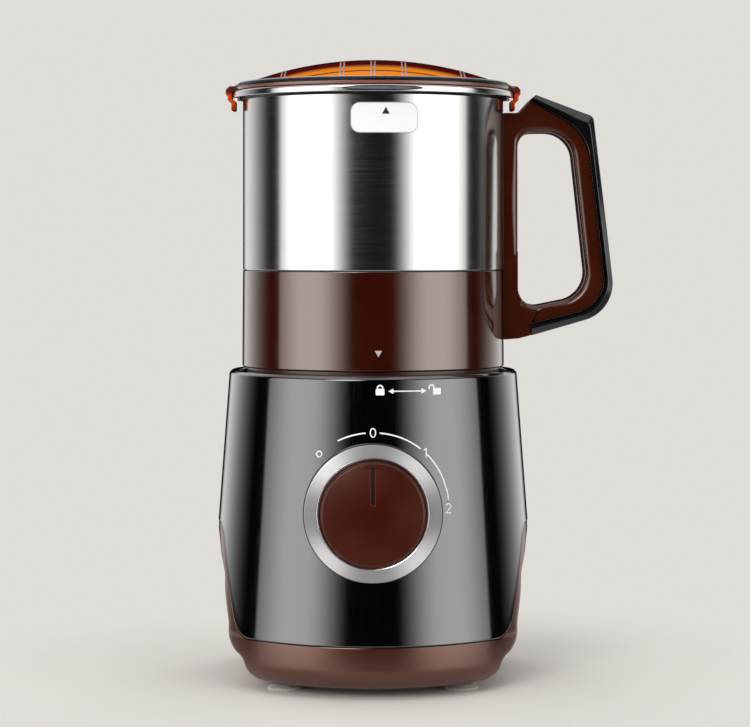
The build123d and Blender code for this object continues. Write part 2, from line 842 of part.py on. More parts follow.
# ---------------------------------------------------------------- interlock
with BuildPart() as microswitch:
    with BuildSketch(turned_level(pin_azimuth, microswitch_top - microswitch_height)) as case:
        with Locations((tab_radius - microswitch_thickness / 2, 0)):
            Rectangle(microswitch_thickness, microswitch_width)
    extrude(case.sketch, amount=microswitch_height)
    with BuildSketch(turned_level(pin_azimuth, microswitch_top)) as button:
        with Locations((pin_circle_radius, 0)):
            Circle(1.2)
    extrude(button.sketch, amount=0.8)
finish(microswitch, "microswitch")

pin_bottom = microswitch_top + 1.0
with BuildPart() as interlock_pin:
    with BuildSketch(radial_plane(pin_azimuth)) as half_pin:
        with BuildLine():
            Polyline(
                (pin_circle_radius, pin_top),
                (pin_circle_radius, pin_bottom),
                (pin_circle_radius + pin_radius, pin_bottom),
                (pin_circle_radius + pin_radius, pin_flange_top - pin_flange_thickness),
                (pin_circle_radius + pin_flange_radius, pin_flange_top - pin_flange_thickness),
                (pin_circle_radius + pin_flange_radius, pin_flange_top),
                (pin_circle_radius + pin_radius, pin_flange_top),
                (pin_circle_radius + pin_radius, pin_top - pin_radius),
            )
            RadiusArc((pin_circle_radius + pin_radius, pin_top - pin_radius), (pin_circle_radius, pin_top), -pin_radius)
        make_face()
    a = radians(pin_azimuth)
    pin_axis = Axis((pin_circle_radius * cos(a), pin_circle_radius * sin(a), 0), (0, 0, 1))
    revolve(half_pin.sketch, axis=pin_axis)
finish(interlock_pin, "interlock_pin")

with BuildPart() as interlock_spring:
    spring_radius = pin_radius + 0.3 + spring_wire_radius
    spring_low = microswitch_top + 0.2 + spring_wire_radius
    spring_high = pin_flange_top - pin_flange_thickness - 0.2 - spring_wire_radius
    spring_place = (pin_circle_radius * cos(a), pin_circle_radius * sin(a), spring_low)
    with BuildLine() as coil:
        Helix((spring_high - spring_low) / spring_turns, spring_high - spring_low, spring_radius, center=spring_place)
    with BuildSketch(Plane(origin=coil.line @ 0, z_dir=coil.line % 0)) as wire:
        RegularPolygon(spring_wire_radius, 6)
    sweep(wire.sketch, path=coil.line, is_frenet=True)
finish(interlock_spring, "interlock_spring")

# ---------------------------------------------------------------- motor
def bracket(plate_low, plate_high, boss_low, boss_high, legs_low, legs_high):
    """Bridge across the motor along X with a bearing cup in its middle and two legs."""
    slab(2 * bracket_half_length, 2 * bracket_half_width, plate_low, plate_high)
    ring(bearing_radius + bearing_cup_wall, 0, boss_low, boss_high)
    for side in (-1, 1):
        place = (side * (bracket_half_length - bracket_leg_thickness / 2 - 1), 0)
        slab(bracket_leg_thickness, 2 * bracket_half_width, legs_low, legs_high, place)


with BuildPart() as upper_motor_bracket:
    bracket(
        upper_plate_bottom,
        upper_plate_bottom + bracket_thickness,
        upper_plate_bottom,
        upper_bearing_top + 1.0,
        stack_top,
        upper_plate_bottom,
    )
    ring(bearing_radius + bearing_fit_gap, 0, upper_bearing_bottom, upper_bearing_top, mode=Mode.SUBTRACT)
    ring(motor_shaft_radius + 2.0, 0, upper_plate_bottom, upper_bearing_top + 1.0, mode=Mode.SUBTRACT)
finish(upper_motor_bracket, "upper_motor_bracket")

with BuildPart() as lower_motor_bracket:
    bracket(
        lower_plate_bottom,
        lower_bearing_top,
        lower_bearing_bottom - 1.0,
        lower_bearing_top,
        lower_bearing_top,
        stack_bottom,
    )
    slab(16.0, 2 * (commutator_radius + brush_length + 6), lower_plate_bottom, lower_bearing_top)
    ring(bearing_radius + bearing_fit_gap, 0, lower_bearing_bottom, lower_bearing_top, mode=Mode.SUBTRACT)
    ring(motor_shaft_radius + 2.0, 0, lower_bearing_bottom - 1.0, lower_bearing_top, mode=Mode.SUBTRACT)
finish(lower_motor_bracket, "lower_motor_bracket")

with BuildPart() as motor_bearings:
    for low in (upper_bearing_bottom, lower_bearing_bottom):
        turned(
            (motor_shaft_radius + running_clearance, low),
            (bearing_radius, low, 0.6),
            (bearing_radius, low + bearing_height, 0.6),
            (motor_shaft_radius + running_clearance, low + bearing_height),
        )
finish(motor_bearings, "motor_bearings")

with BuildPart() as motor_dampers:
    rods(damper_radius, lower_plate_bottom - damper_height, lower_plate_bottom, damper_places)
    rods(
        damper_radius,
        upper_plate_bottom + bracket_thickness,
        upper_plate_bottom + bracket_thickness + damper_height,
        damper_places,
    )
finish(motor_dampers, "motor_dampers")

bore_radius = armature_radius + air_gap
with BuildPart() as stator_core:
    with BuildSketch(Plane.XY.offset(stack_bottom)) as lamination:
        RectangleRounded(stator_length_x, stator_length_y, stator_corner)
        RectangleRounded(
            stator_length_x - 2 * stator_back_iron,
            stator_length_y - 2 * stator_back_iron,
            stator_corner - 4,
            mode=Mode.SUBTRACT,
        )
        Rectangle(pole_width, stator_length_y - 2)
        Circle(pole_shoe_radius)
        Circle(bore_radius, mode=Mode.SUBTRACT)
        Rectangle(2 * pole_shoe_radius + 2, 2 * pole_half_gap, mode=Mode.SUBTRACT)
    extrude(lamination.sketch, amount=stack_height)
finish(stator_core, "stator_core")

with BuildPart() as field_windings:
    coil_inner = pole_width / 2 + field_coil_clearance
    coil_outer = coil_inner + field_coil_reach
    coil_far = stator_length_y / 2 - stator_back_iron - field_coil_clearance
    coil_near = sqrt((pole_shoe_radius + field_coil_clearance) ** 2 - coil_inner**2) + 0.6
    for side in (-1, 1):
        far = side * coil_far
        with BuildSketch(front_plane(far)) as loop:
            with Locations((0, (stack_top + stack_bottom) / 2)):
                RectangleRounded(2 * coil_outer, stack_height + 2 * winding_overhang, 5.0)
                Rectangle(2 * coil_inner, stack_height + 2 * field_coil_clearance, mode=Mode.SUBTRACT)
        extrude(loop.sketch, amount=side * (coil_near - coil_far))
finish(field_windings, "field_windings")

slot_middle = armature_radius - slot_depth / 2 + 0.5
with BuildPart() as armature_core:
    with BuildSketch(Plane.XY.offset(stack_bottom)) as lamination:
        Circle(armature_radius)
        Circle(motor_shaft_radius, mode=Mode.SUBTRACT)
        with PolarLocations(slot_middle, armature_slots):
            Rectangle(slot_depth + 1, slot_width, mode=Mode.SUBTRACT)
    extrude(lamination.sketch, amount=stack_height)
finish(armature_core, "armature_core")

with BuildPart() as armature_windings:
    winding_outer = armature_radius - 1.0
    for low, high in ((winding_bottom, stack_bottom), (stack_top, winding_top)):
        turned(
            (motor_shaft_radius + 2.0, low, 1.0),
            (winding_outer, low, 2.5),
            (winding_outer, high),
            (motor_shaft_radius + 2.0, high),
        )
    with BuildSketch(Plane.XY.offset(stack_bottom)) as bars:
        with PolarLocations(slot_middle - 0.5, armature_slots):
            Rectangle(slot_depth - 1.2, slot_width - 2 * winding_clearance)
    extrude(bars.sketch, amount=stack_height)
finish(armature_windings, "armature_windings")

with BuildPart() as commutator:
    with BuildSketch(Plane.XY.offset(commutator_bottom)) as segments:
        Circle(commutator_radius)
        Circle(motor_shaft_radius, mode=Mode.SUBTRACT)
        with PolarLocations(commutator_radius, commutator_slots):
            Rectangle(2 * commutator_slot_depth, commutator_slot_width, mode=Mode.SUBTRACT)
    extrude(segments.sketch, amount=commutator_height)
finish(commutator, "commutator")

with BuildPart() as motor_shaft:
    ring(motor_shaft_radius, 0, shaft_bottom, drive_top - 1.0)
    chamfer(motor_shaft.edges().group_by(Axis.Z)[0], 0.6)
finish(motor_shaft, "motor_shaft")

with BuildPart() as cooling_fan:
    ring(fan_radius, 0, fan_bottom, fan_bottom + fan_disc_thickness)
    with BuildSketch(Plane.XY.offset(fan_bottom)) as vanes:
        with PolarLocations((fan_hub_radius + fan_radius) / 2, fan_blade_count):
            Rectangle(fan_radius - fan_hub_radius - 1.5, fan_blade_thickness, rotation=28)
    extrude(vanes.sketch, amount=fan_height)
    ring(fan_hub_radius, 0, fan_bottom, fan_top)
    ring(motor_shaft_radius, 0, fan_bottom, fan_top, mode=Mode.SUBTRACT)
finish(cooling_fan, "cooling_fan")

brush_middle = (commutator_top + commutator_bottom) / 2
brush_start = commutator_radius + brush_gap
with BuildPart() as carbon_brushes:
    for side in (-1, 1):
        place = (0, side * (brush_start + brush_length / 2))
        slab(brush_width, brush_length, brush_middle - brush_height / 2, brush_middle + brush_height / 2, place)
finish(carbon_brushes, "carbon_brushes")

with BuildPart() as brush_holders:
    holder_start = brush_start + 2.0
    holder_middle = holder_start + brush_holder_length / 2
    outer = brush_width + 2 * (brush_fit_gap + brush_holder_wall)
    half = brush_height / 2 + brush_fit_gap
    for side in (-1, 1):
        slab(
            outer,
            brush_holder_length,
            brush_middle - half - brush_holder_wall,
            brush_middle + half + brush_holder_wall,
            (0, side * holder_middle),
        )
        slab(outer, 8.0, lower_bearing_top, brush_middle - half, (0, side * (holder_middle + 2.0)))
        slab(
            brush_width + 2 * brush_fit_gap,
            brush_length,
            brush_middle - half,
            brush_middle + half,
            (0, side * (brush_start + brush_length / 2)),
            mode=Mode.SUBTRACT,
        )
finish(brush_holders, "brush_holders")


# ---------------------------------------------------------------- dog coupling
def dogs(low, start):
    """Ring of upright coupling dogs, one centred at the start azimuth."""
    with BuildSketch(Plane.XY.offset(low)) as flat:
        for i in range(dog_count):
            middle = start + i * 360 / dog_count
            with BuildLine():
                inner = CenterArc((0, 0), dog_inner_radius, middle - dog_angle / 2, dog_angle)
                outer = CenterArc((0, 0), dog_outer_radius, middle - dog_angle / 2, dog_angle)
                Line(inner @ 0, outer @ 0)
                Line(inner @ 1, outer @ 1)
            make_face()
    extrude(flat.sketch, amount=dog_height)


with BuildPart() as drive_coupling:
    ring(coupling_radius, motor_shaft_radius + shaft_fit_gap, drive_bottom, drive_top)
    dogs(drive_top, 90.0)
finish(drive_coupling, "drive_coupling")

with BuildPart() as driven_coupling:
    ring(coupling_radius, 0, driven_bottom, driven_top)
    ring(blade_shaft_radius + shaft_fit_gap, 0, driven_bottom + 1.5, driven_top, mode=Mode.SUBTRACT)
    dogs(driven_dog_bottom, 90.0 + 180.0 / dog_count)
finish(driven_coupling, "driven_coupling")

# ---------------------------------------------------------------- cup
collar_screw_places = around(collar_screw_count, collar_screw_circle, collar_screw_azimuth)
handle_screw_heights = [collar_bottom + rise for rise in handle_screw_rises]
with BuildPart() as cup_collar:
    turned(
        (collar_bottom_radius - collar_wall, collar_bottom),
        (collar_bottom_radius, collar_bottom, 0.8),
        (collar_top_radius, collar_top),
        (collar_top_radius - collar_wall - 0.6, collar_top),
        (collar_top_radius - collar_wall - 0.6, collar_top - collar_shelf),
        (collar_top_radius - collar_wall, collar_top - collar_shelf - 1.5),
    )
    rods(collar_boss_radius, collar_bottom, collar_bottom + collar_boss_height, collar_screw_places)
    # nothing of the bosses stands outside the collar
    turned(
        (0, collar_bottom),
        (collar_bottom_radius, collar_bottom, 0.8),
        (collar_top_radius, collar_top),
        (0, collar_top),
        mode=Mode.INTERSECT,
    )
    rods(
        screw_shank_radius + 0.1,
        collar_bottom,
        collar_bottom + collar_screw_length,
        collar_screw_places,
        mode=Mode.SUBTRACT,
    )
    for height in handle_screw_heights:
        with BuildSketch(Plane.YZ.offset(collar_top_radius - 2 * collar_wall)) as hole:
            with Locations((0, height)):
                Circle(handle_screw_radius + 0.1)
        extrude(hole.sketch, amount=4 * collar_wall, mode=Mode.SUBTRACT)
finish(cup_collar, "cup_collar")

with BuildPart() as collar_base_plate:
    turned(
        (base_plate_opening, base_plate_bottom),
        (key_inner_radius - 1.0, base_plate_bottom),
        (key_inner_radius - 1.0, cup_foot_bottom),
        (base_plate_radius, cup_foot_bottom),
        (base_plate_radius, collar_bottom),
        (base_plate_opening, collar_bottom),
    )
    # keys that drop into the seat ring
    for i in range(key_count):
        with BuildSketch(turned_level(key_azimuth + i * 360 / key_count, cup_foot_bottom - key_depth)) as key:
            with Locations(((key_inner_radius + key_outer_radius) / 2, 0)):
                Rectangle(key_outer_radius - key_inner_radius, key_width)
        extrude(key.sketch, amount=key_depth)
    # ramp over the interlock pin: full height when locked, none when the cup is turned to open
    ramp_turn = radians(twist_range)
    ramp_run = pin_circle_radius * ramp_turn
    ramp_plane = radial_plane(pin_azimuth - 90 - twist_range / 2).offset(-pin_circle_radius - ramp_width / 2)
    with BuildSketch(ramp_plane) as ramp:
        with BuildLine():
            Polyline(
                (ramp_run / 2, base_plate_bottom),
                (-ramp_run / 2, pin_ramp_bottom),
                (-ramp_run / 2 - ramp_flat, pin_ramp_bottom),
                (-ramp_run / 2 - ramp_flat, base_plate_bottom),
                close=True,
            )
        make_face()
    extrude(ramp.sketch, amount=ramp_width)
    rods(screw_head_radius + 0.3, cup_foot_bottom, base_plate_bottom, collar_screw_places, mode=Mode.SUBTRACT)
    rods(screw_hole_radius, base_plate_bottom, collar_bottom, collar_screw_places, mode=Mode.SUBTRACT)
finish(collar_base_plate, "collar_base_plate")

with BuildPart() as collar_screws:
    head_low = base_plate_bottom - screw_head_height
    rods(screw_head_radius, head_low, base_plate_bottom, collar_screw_places)
    rods(screw_shank_radius, base_plate_bottom, collar_bottom + collar_screw_length - 1.0, collar_screw_places)
finish(collar_screws, "collar_screws")

with BuildPart() as grinding_cup:
    inner = cup_radius - steel_thickness
    bowl_bend = bowl_radius - bowl_floor_radius
    turned(
        (bowl_hole_radius, bowl_floor_bottom),
        (bowl_radius, bowl_floor_bottom, bowl_bend),
        (bowl_radius, collar_top + cup_seat_gap),
        (cup_radius, collar_top + cup_seat_gap, 0.7),
        (cup_radius, rim_top - steel_thickness),
        (rim_radius - steel_thickness, rim_top - steel_thickness),
        (rim_radius - steel_thickness, rim_bottom),
        (rim_radius, rim_bottom),
        (rim_radius, rim_top, rim_corner),
        (inner, rim_top, rim_corner),
        (inner, collar_top + cup_seat_gap + steel_thickness),
        (bowl_radius - steel_thickness, collar_top + cup_seat_gap + steel_thickness),
        (bowl_radius - steel_thickness, bowl_floor_top, bowl_bend - steel_thickness),
        (bowl_hole_radius, bowl_floor_top),
    )
    # a notch on each side lets the lid's hooks past the rim
    for side in (0.0, 180.0):
        with BuildSketch(turned_level(side - rim_notch_angle / 2, rim_bottom)) as notch:
            with BuildLine():
                near = CenterArc((0, 0), rim_notch_radius, 0, rim_notch_angle)
                away = CenterArc((0, 0), rim_radius + 1, 0, rim_notch_angle)
                Line(near @ 0, away @ 0)
                Line(near @ 1, away @ 1)
            make_face()
        extrude(notch.sketch, amount=rim_drop, mode=Mode.SUBTRACT)
finish(grinding_cup, "grinding_cup")

# ---------------------------------------------------------------- blade bearing
with BuildPart() as bearing_housing:
    turned(
        (shaft_bore_radius + 0.6, bearing_body_bottom),
        (bearing_body_radius, bearing_body_bottom, 1.0),
        (bearing_body_radius, bearing_flange_bottom),
        (bearing_flange_radius, bearing_flange_bottom),
        (bearing_flange_radius, bearing_flange_top),
        (bearing_neck_radius, bearing_flange_top),
        (bearing_neck_radius, bearing_nut_top),
        (shaft_bore_radius + 0.6, bearing_nut_top),
    )
    upper_bush_bottom = bearing_flange_top - bush_height
    ring(bush_radius, 0, bearing_body_bottom, bearing_body_bottom + bush_height, mode=Mode.SUBTRACT)
    ring(bush_radius, 0, upper_bush_bottom, upper_bush_bottom + bush_height, mode=Mode.SUBTRACT)
finish(bearing_housing, "bearing_housing")

with BuildPart() as blade_bearings:
    for low in (bearing_body_bottom, upper_bush_bottom):
        ring(bush_radius, shaft_bore_radius, low, low + bush_height)
finish(blade_bearings, "blade_bearings")

with BuildPart() as floor_gasket:
    ring(bearing_flange_radius - 1.0, bearing_neck_radius, bearing_flange_top, bowl_floor_bottom)
finish(floor_gasket, "floor_gasket")

with BuildPart() as bearing_nut:
    with BuildSketch(Plane.XY.offset(bowl_floor_top)) as hexagon:
        RegularPolygon(bearing_nut_radius, 6)
        Circle(bearing_neck_radius, mode=Mode.SUBTRACT)
    extrude(hexagon.sketch, amount=bearing_nut_height)
finish(bearing_nut, "bearing_nut")

# ---------------------------------------------------------------- blades
shaft_top = upper_blade_top + blade_nut_height - 3.0
with BuildPart() as blade_shaft:
    ring(blade_shaft_radius, 0, driven_bottom + 1.5, shaft_top)
    ring(shaft_shoulder_radius, 0, shoulder_bottom, lower_blade_bottom)
finish(blade_shaft, "blade_shaft")


def wing_blade(low, reach, bend, azimuth):
    """Two-winged blade: a flat hub, wings that slope by bend to their tips and taper in width."""
    with BuildSketch(radial_plane(azimuth, low).offset(-blade_width)) as edge_on:
        with BuildLine():
            Polyline(
                (0, 0),
                (blade_flat, 0),
                (reach, bend),
                (reach, bend + blade_thickness),
                (blade_flat, blade_thickness),
                (0, blade_thickness),
                close=True,
            )
        make_face()
        mirror(about=Plane.YZ)
    extrude(edge_on.sketch, amount=2 * blade_width)
    with BuildSketch(turned_level(azimuth, low - abs(bend) - 1)) as plan:
        with BuildLine():
            FilletPolyline(
                (-blade_flat, blade_width / 2),
                (reach, blade_width / 2),
                (reach, blade_width / 2 - blade_tip_width),
                (blade_flat, -blade_width / 2),
                (-reach, -blade_width / 2),
                (-reach, blade_tip_width - blade_width / 2),
                radius=(4, 2, 2, 4, 2, 2),
                close=True,
            )
        make_face()
        Circle(blade_shaft_radius + shaft_fit_gap, mode=Mode.SUBTRACT)
    extrude(plan.sketch, amount=2 * abs(bend) + blade_thickness + 2, mode=Mode.INTERSECT)


with BuildPart() as lower_blade:
    wing_blade(lower_blade_bottom, blade_reach, lower_blade_bend, 20.0)
finish(lower_blade, "lower_blade")

with BuildPart() as upper_blade:
    wing_blade(upper_blade_bottom, upper_blade_reach, upper_blade_bend, 110.0)
finish(upper_blade, "upper_blade")

with BuildPart() as blade_spacer:
    ring(blade_spacer_radius, blade_shaft_radius + shaft_fit_gap, lower_blade_top, upper_blade_bottom)
finish(blade_spacer, "blade_spacer")

with BuildPart() as blade_nut:
    with BuildSketch(Plane.XY.offset(upper_blade_top)) as hexagon:
        RegularPolygon(blade_nut_radius, 6)
    extrude(hexagon.sketch, amount=blade_nut_height - 2.5)
    turned(
        (0, upper_blade_top + blade_nut_height - 2.5),
        (blade_nut_radius - 1.2, upper_blade_top + blade_nut_height - 2.5),
        (blade_nut_radius - 1.2, upper_blade_top + blade_nut_height, 2.0),
        (0, upper_blade_top + blade_nut_height),
    )
    ring(blade_shaft_radius + shaft_fit_gap, 0, upper_blade_top, shaft_top, mode=Mode.SUBTRACT)
finish(blade_nut, "blade_nut")

# ---------------------------------------------------------------- handle
seam_top = (seam_top_reach, rim_top - seam_top_drop)
seam_shoulder = (seam_shoulder_reach, rim_top - seam_shoulder_drop, seam_shoulder_rounding)
seam_heel = (seam_heel_reach, collar_bottom + seam_heel_rise, seam_heel_rounding)
seam_foot = (seam_foot_reach, collar_bottom + seam_foot_rise)
handle_foot_bottom = collar_bottom + handle_foot_rise
handle_scoop = rim_top - handle_scoop_drop


def side_profile(corners, mode=Mode.ADD):
    """Face with the outline of (x, z) or (x, z, rounding) corners, for a sketch on the front plane."""
    rounding = [c[2] if len(c) > 2 else 0 for c in corners]
    with BuildSketch(Plane.XY) as outline:
        with BuildLine():
            FilletPolyline(*[c[:2] for c in corners], radius=rounding, close=True)
        make_face()
    add(outline.sketch, mode=mode)


with BuildPart() as cup_handle:
    with BuildSketch(Plane.XZ) as loop:
        side_profile(
            [
                (collar_top_radius - 3, handle_foot_bottom),
                (collar_top_radius - 3, handle_scoop),
                (handle_scoop_radius, handle_scoop, 3.0),
                (seam_top_reach - 0.5, rim_top - seam_top_drop - 0.3, 0.3),
                seam_top,
                seam_shoulder,
                seam_heel,
                seam_foot,
                (handle_spine_reach + 0.2, collar_bottom + seam_foot_rise - 0.4, 2.0),
                (handle_spine_reach + 0.2, handle_foot_bottom, 1.0),
            ]
        )
        side_profile(
            [
                (handle_spine_reach, rim_top - gap_top_drop, gap_spine_rounding),
                (gap_top_reach, rim_top - gap_top_drop, gap_top_rounding),
                (gap_heel_reach, collar_bottom + gap_heel_rise, gap_heel_rounding),
                (handle_spine_reach, collar_bottom + gap_foot_rise, gap_foot_rounding),
            ],
            mode=Mode.SUBTRACT,
        )
    extrude(loop.sketch, amount=handle_half_width, both=True)
    # the edges that the fingers meet are rounded
    loop_sides = cup_handle.faces().sort_by(Axis.Y)
    fillet([e for side in (loop_sides[0], loop_sides[-1]) for e in side.inner_wires()[0].edges()], handle_edge)
    # the spine follows the cup's wall and the collar's taper
    turned(
        (0, handle_foot_bottom - 5),
        (collar_bottom_radius + handle_wall_gap, handle_foot_bottom - 5),
        (collar_top_radius + handle_wall_gap, collar_top),
        (cup_radius + handle_wall_gap, collar_top),
        (cup_radius + handle_wall_gap, rim_top),
        (0, rim_top),
        mode=Mode.SUBTRACT,
    )
    for height in handle_screw_heights:
        with BuildSketch(Plane.YZ.offset(collar_top_radius - 2)) as hole:
            with Locations((0, height)):
                Circle(handle_screw_radius + 0.05)
        extrude(hole.sketch, amount=handle_screw_length - 1.0, mode=Mode.SUBTRACT)
finish(cup_handle, "cup_handle")

with BuildPart() as handle_grip:
    with BuildSketch(Plane.XZ) as shell:
        side_profile(
            [
                seam_top,
                (grip_top_reach, rim_top - grip_top_drop, grip_end_rounding),
                (grip_shoulder_reach, rim_top - grip_shoulder_drop, grip_shoulder_rounding),
                (grip_heel_reach, collar_bottom + grip_heel_rise, grip_heel_rounding),
                (grip_foot_reach, collar_bottom + grip_foot_rise, grip_end_rounding),
                seam_foot,
                seam_heel,
                seam_shoulder,
            ]
        )
    extrude(shell.sketch, amount=grip_half_width, both=True)
    grip_sides = handle_grip.faces().sort_by(Axis.Y)
    fillet(grip_sides[0].edges() + grip_sides[-1].edges(), grip_edge)
finish(handle_grip, "handle_grip")

with BuildPart() as handle_screws:
    seat = collar_top_radius - collar_wall
    for height in handle_screw_heights:
        with BuildSketch(Plane.YZ.offset(seat - handle_screw_head_height)) as head:
            with Locations((0, height)):
                Circle(handle_screw_head_radius)
        extrude(head.sketch, amount=handle_screw_head_height - 0.2)
        with BuildSketch(Plane.YZ.offset(seat - 1.0)) as shank:
            with Locations((0, height)):
                Circle(handle_screw_radius)
        extrude(shank.sketch, amount=handle_screw_length)
finish(handle_screws, "handle_screws")

# ---------------------------------------------------------------- lid
groove_low = lid_bottom - spigot_length + seal_groove_rise
groove_high = groove_low + seal_groove_height
groove_radius = spigot_radius - seal_groove_depth


def dome(radius, distance):
    """Height of a sphere of the given radius about the dome's centre, at a distance from the axis."""
    return dome_centre + sqrt(radius**2 - distance**2)


with BuildPart() as sealing_lid:
    with BuildSketch(Plane.XZ) as half_lid:
        with BuildLine():
            crown = spigot_radius - spigot_wall
            inner_sphere = dome_radius - lid_wall
            ThreePointArc(
                (0, dome(dome_radius, 0)),
                (dome_base_radius / 2, dome(dome_radius, dome_base_radius / 2)),
                (dome_base_radius, dome_base),
            )
            Polyline(
                (dome_base_radius, dome_base),
                (lid_flange_radius - 1.4, lid_bottom + lid_flange_height + lid_flange_slope),
                (lid_flange_radius, lid_bottom + lid_flange_height),
                (lid_flange_radius, lid_bottom),
                (spigot_radius, lid_bottom),
                (spigot_radius, groove_high),
                (groove_radius, groove_high),
                (groove_radius, groove_low),
                (spigot_radius, groove_low),
                (spigot_radius, lid_bottom - spigot_length),
                (crown, lid_bottom - spigot_length),
                (crown, dome(inner_sphere, crown)),
            )
            ThreePointArc(
                (crown, dome(inner_sphere, crown)),
                (crown / 2, dome(inner_sphere, crown / 2)),
                (0, dome(inner_sphere, 0)),
            )
            Line((0, dome(inner_sphere, 0)), (0, dome(dome_radius, 0)))
        make_face()
    revolve(half_lid.sketch, axis=Axis.Z)
    # a hook on each side reaches under the cup's rim
    for side in (0.0, 180.0):
        with BuildSketch(radial_plane(side - hook_angle / 2)) as hook:
            with BuildLine():
                Polyline(
                    (lid_flange_radius - 1.0, lid_bottom + hook_top_rise),
                    (hook_knuckle_radius - 1.4, lid_bottom + hook_top_rise - 0.2),
                    (hook_knuckle_radius, lid_bottom + hook_top_rise - 1.5),
                    (hook_knuckle_radius, lid_bottom - hook_knuckle_drop),
                    (hook_arm_radius, lid_bottom - hook_knuckle_drop - 0.7),
                    (hook_arm_radius, lid_bottom - hook_nub_drop + 0.6),
                    (hook_tip_radius, lid_bottom - hook_nub_drop - 1.3),
                    (hook_tip_radius, lid_bottom - hook_tip_drop),
                    (hook_tip_radius - hook_tip_width, lid_bottom - hook_tip_drop),
                    (hook_tip_radius - hook_tip_width, lid_bottom - hook_nub_drop),
                    (hook_arm_radius - hook_arm_width, lid_bottom - hook_nub_drop + 0.3),
                    (hook_arm_radius - hook_arm_width, lid_bottom),
                    (lid_flange_radius - 1.0, lid_bottom),
                    close=True,
                )
            make_face()
        revolve(hook.sketch, axis=Axis.Z, revolution_arc=hook_angle)
finish(sealing_lid, "sealing_lid")

with BuildPart() as lid_seal:
    seal_inner = groove_radius + seal_gap
    seal_outer = cup_radius - steel_thickness - seal_lip_gap
    turned(
        (seal_inner, groove_low + seal_gap),
        (seal_outer - 0.7, groove_low + seal_gap),
        (seal_outer, (groove_low + groove_high) / 2, 0.6),
        (seal_outer - 0.7, groove_high - seal_gap),
        (seal_inner, groove_high - seal_gap),
    )
finish(lid_seal, "lid_seal")
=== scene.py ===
from math import pi, radians

import bmesh
import bpy
import numpy as np
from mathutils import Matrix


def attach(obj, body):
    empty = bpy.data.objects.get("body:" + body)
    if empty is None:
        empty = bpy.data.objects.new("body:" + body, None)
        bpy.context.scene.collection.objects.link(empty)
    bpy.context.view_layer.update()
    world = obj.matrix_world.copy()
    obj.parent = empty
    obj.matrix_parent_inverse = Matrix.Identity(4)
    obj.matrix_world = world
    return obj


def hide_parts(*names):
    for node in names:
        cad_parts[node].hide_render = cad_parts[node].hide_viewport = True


# Electric grain mill: the visible skins, printed marks, finishes, light and camera.
# Shapes are worked out in millimetres in the part's own frame and turned to metres as they are meshed.
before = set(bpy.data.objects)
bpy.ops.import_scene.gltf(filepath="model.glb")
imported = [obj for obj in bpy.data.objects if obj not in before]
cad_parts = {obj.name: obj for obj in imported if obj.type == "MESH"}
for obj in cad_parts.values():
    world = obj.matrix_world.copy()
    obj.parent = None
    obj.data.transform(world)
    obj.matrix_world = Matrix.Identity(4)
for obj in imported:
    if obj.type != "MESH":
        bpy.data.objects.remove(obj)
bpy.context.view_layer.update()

# ---------------------------------------------------------------- sizes shared with the solids, mm
skirt_bottom = 4.0
skirt_top = 23.2
skirt_radius = 74.3
skirt_rounding = 10.5
wing_top = 71.2
arch_top_half, arch_top_rounding = 22.0, 11.0
arch_foot_half, arch_foot_rounding = 45.0, 12.0
seam_gap = 0.3
housing_bottom, housing_top = 23.5, 140.5
housing_top_radius = 66.3
housing_taper = 8.7 / 117.0
housing_wall = 2.5
mouth_radius = 62.0
socket_top = 138.0
knob_height = 81.2
knob_radius, knob_back, knob_front, knob_bow = 23.2, 70.2, 79.0, 2.4
bezel_inner, bezel_outer, bezel_front = 23.7, 30.5, 74.0
collar_bottom, collar_top = 142.0, 186.3
collar_foot_radius, collar_radius = 60.5, 60.2
steel = 0.8
bowl_radius, bowl_floor = 56.8, 172.0
rim_radius, rim_top, rim_bottom = 65.0, 268.5, 265.4
notch_radius, notch_half_angle = 62.4, 8.5
lid_bottom = 268.8
dome_base_radius, dome_base, dome_radius = 59.0, 272.2, 164.0
dome_centre = dome_base - (dome_radius**2 - dome_base_radius**2) ** 0.5
hook_half_angle = 6.2
handle_half_width, grip_half_width = 10.5, 12.0


# ---------------------------------------------------------------- meshing
def rounded(corners, steps=7, lead=0.35):
    """Closed outline through corners (u, v, radius), as an array of one row of points per corner.
    Each corner P becomes the arc that touches both of its runs, from A to B, as the conic
    ((1-s)^2 A + 2 s (1-s) w P + s^2 B) / ((1-s)^2 + 2 s (1-s) w + s^2), where w is the sine of half the
    corner's angle. One more point on the run before A and one after B keep the runs flat."""
    c = np.array([p[:2] for p in corners], float)
    radius = np.array([p[2] for p in corners], float)
    back, on = np.roll(c, 1, axis=0) - c, np.roll(c, -1, axis=0) - c
    back_run, on_run = np.linalg.norm(back, axis=1), np.linalg.norm(on, axis=1)
    back, on = back / back_run[:, None], on / on_run[:, None]
    half = 0.5 * np.arccos(np.clip((back * on).sum(axis=1), -0.999999, 0.999999))
    shortest = np.minimum(back_run, on_run)
    reach = np.minimum(radius / np.tan(half), 0.47 * shortest)[:, None]
    guard = np.minimum(lead * (radius[:, None] > 0), 0.3 * (shortest[:, None] - 2 * reach).clip(0))
    a, b, w = c + back * reach, c + on * reach, np.sin(half)[:, None, None]
    s = np.linspace(0, 1, steps)[None, :, None]
    top = (1 - s) ** 2 * a[:, None] + 2 * s * (1 - s) * w * c[:, None] + s**2 * b[:, None]
    arc = top / ((1 - s) ** 2 + 2 * s * (1 - s) * w + s**2)
    first, last = c + back * (reach + guard), c + on * (reach + guard)
    return np.concatenate([first[:, None], arc, last[:, None]], axis=1)


def outline(corners, steps=7, lead=0.35):
    """The points of a rounded outline in one row."""
    return rounded(corners, steps, lead).reshape(-1, 2)


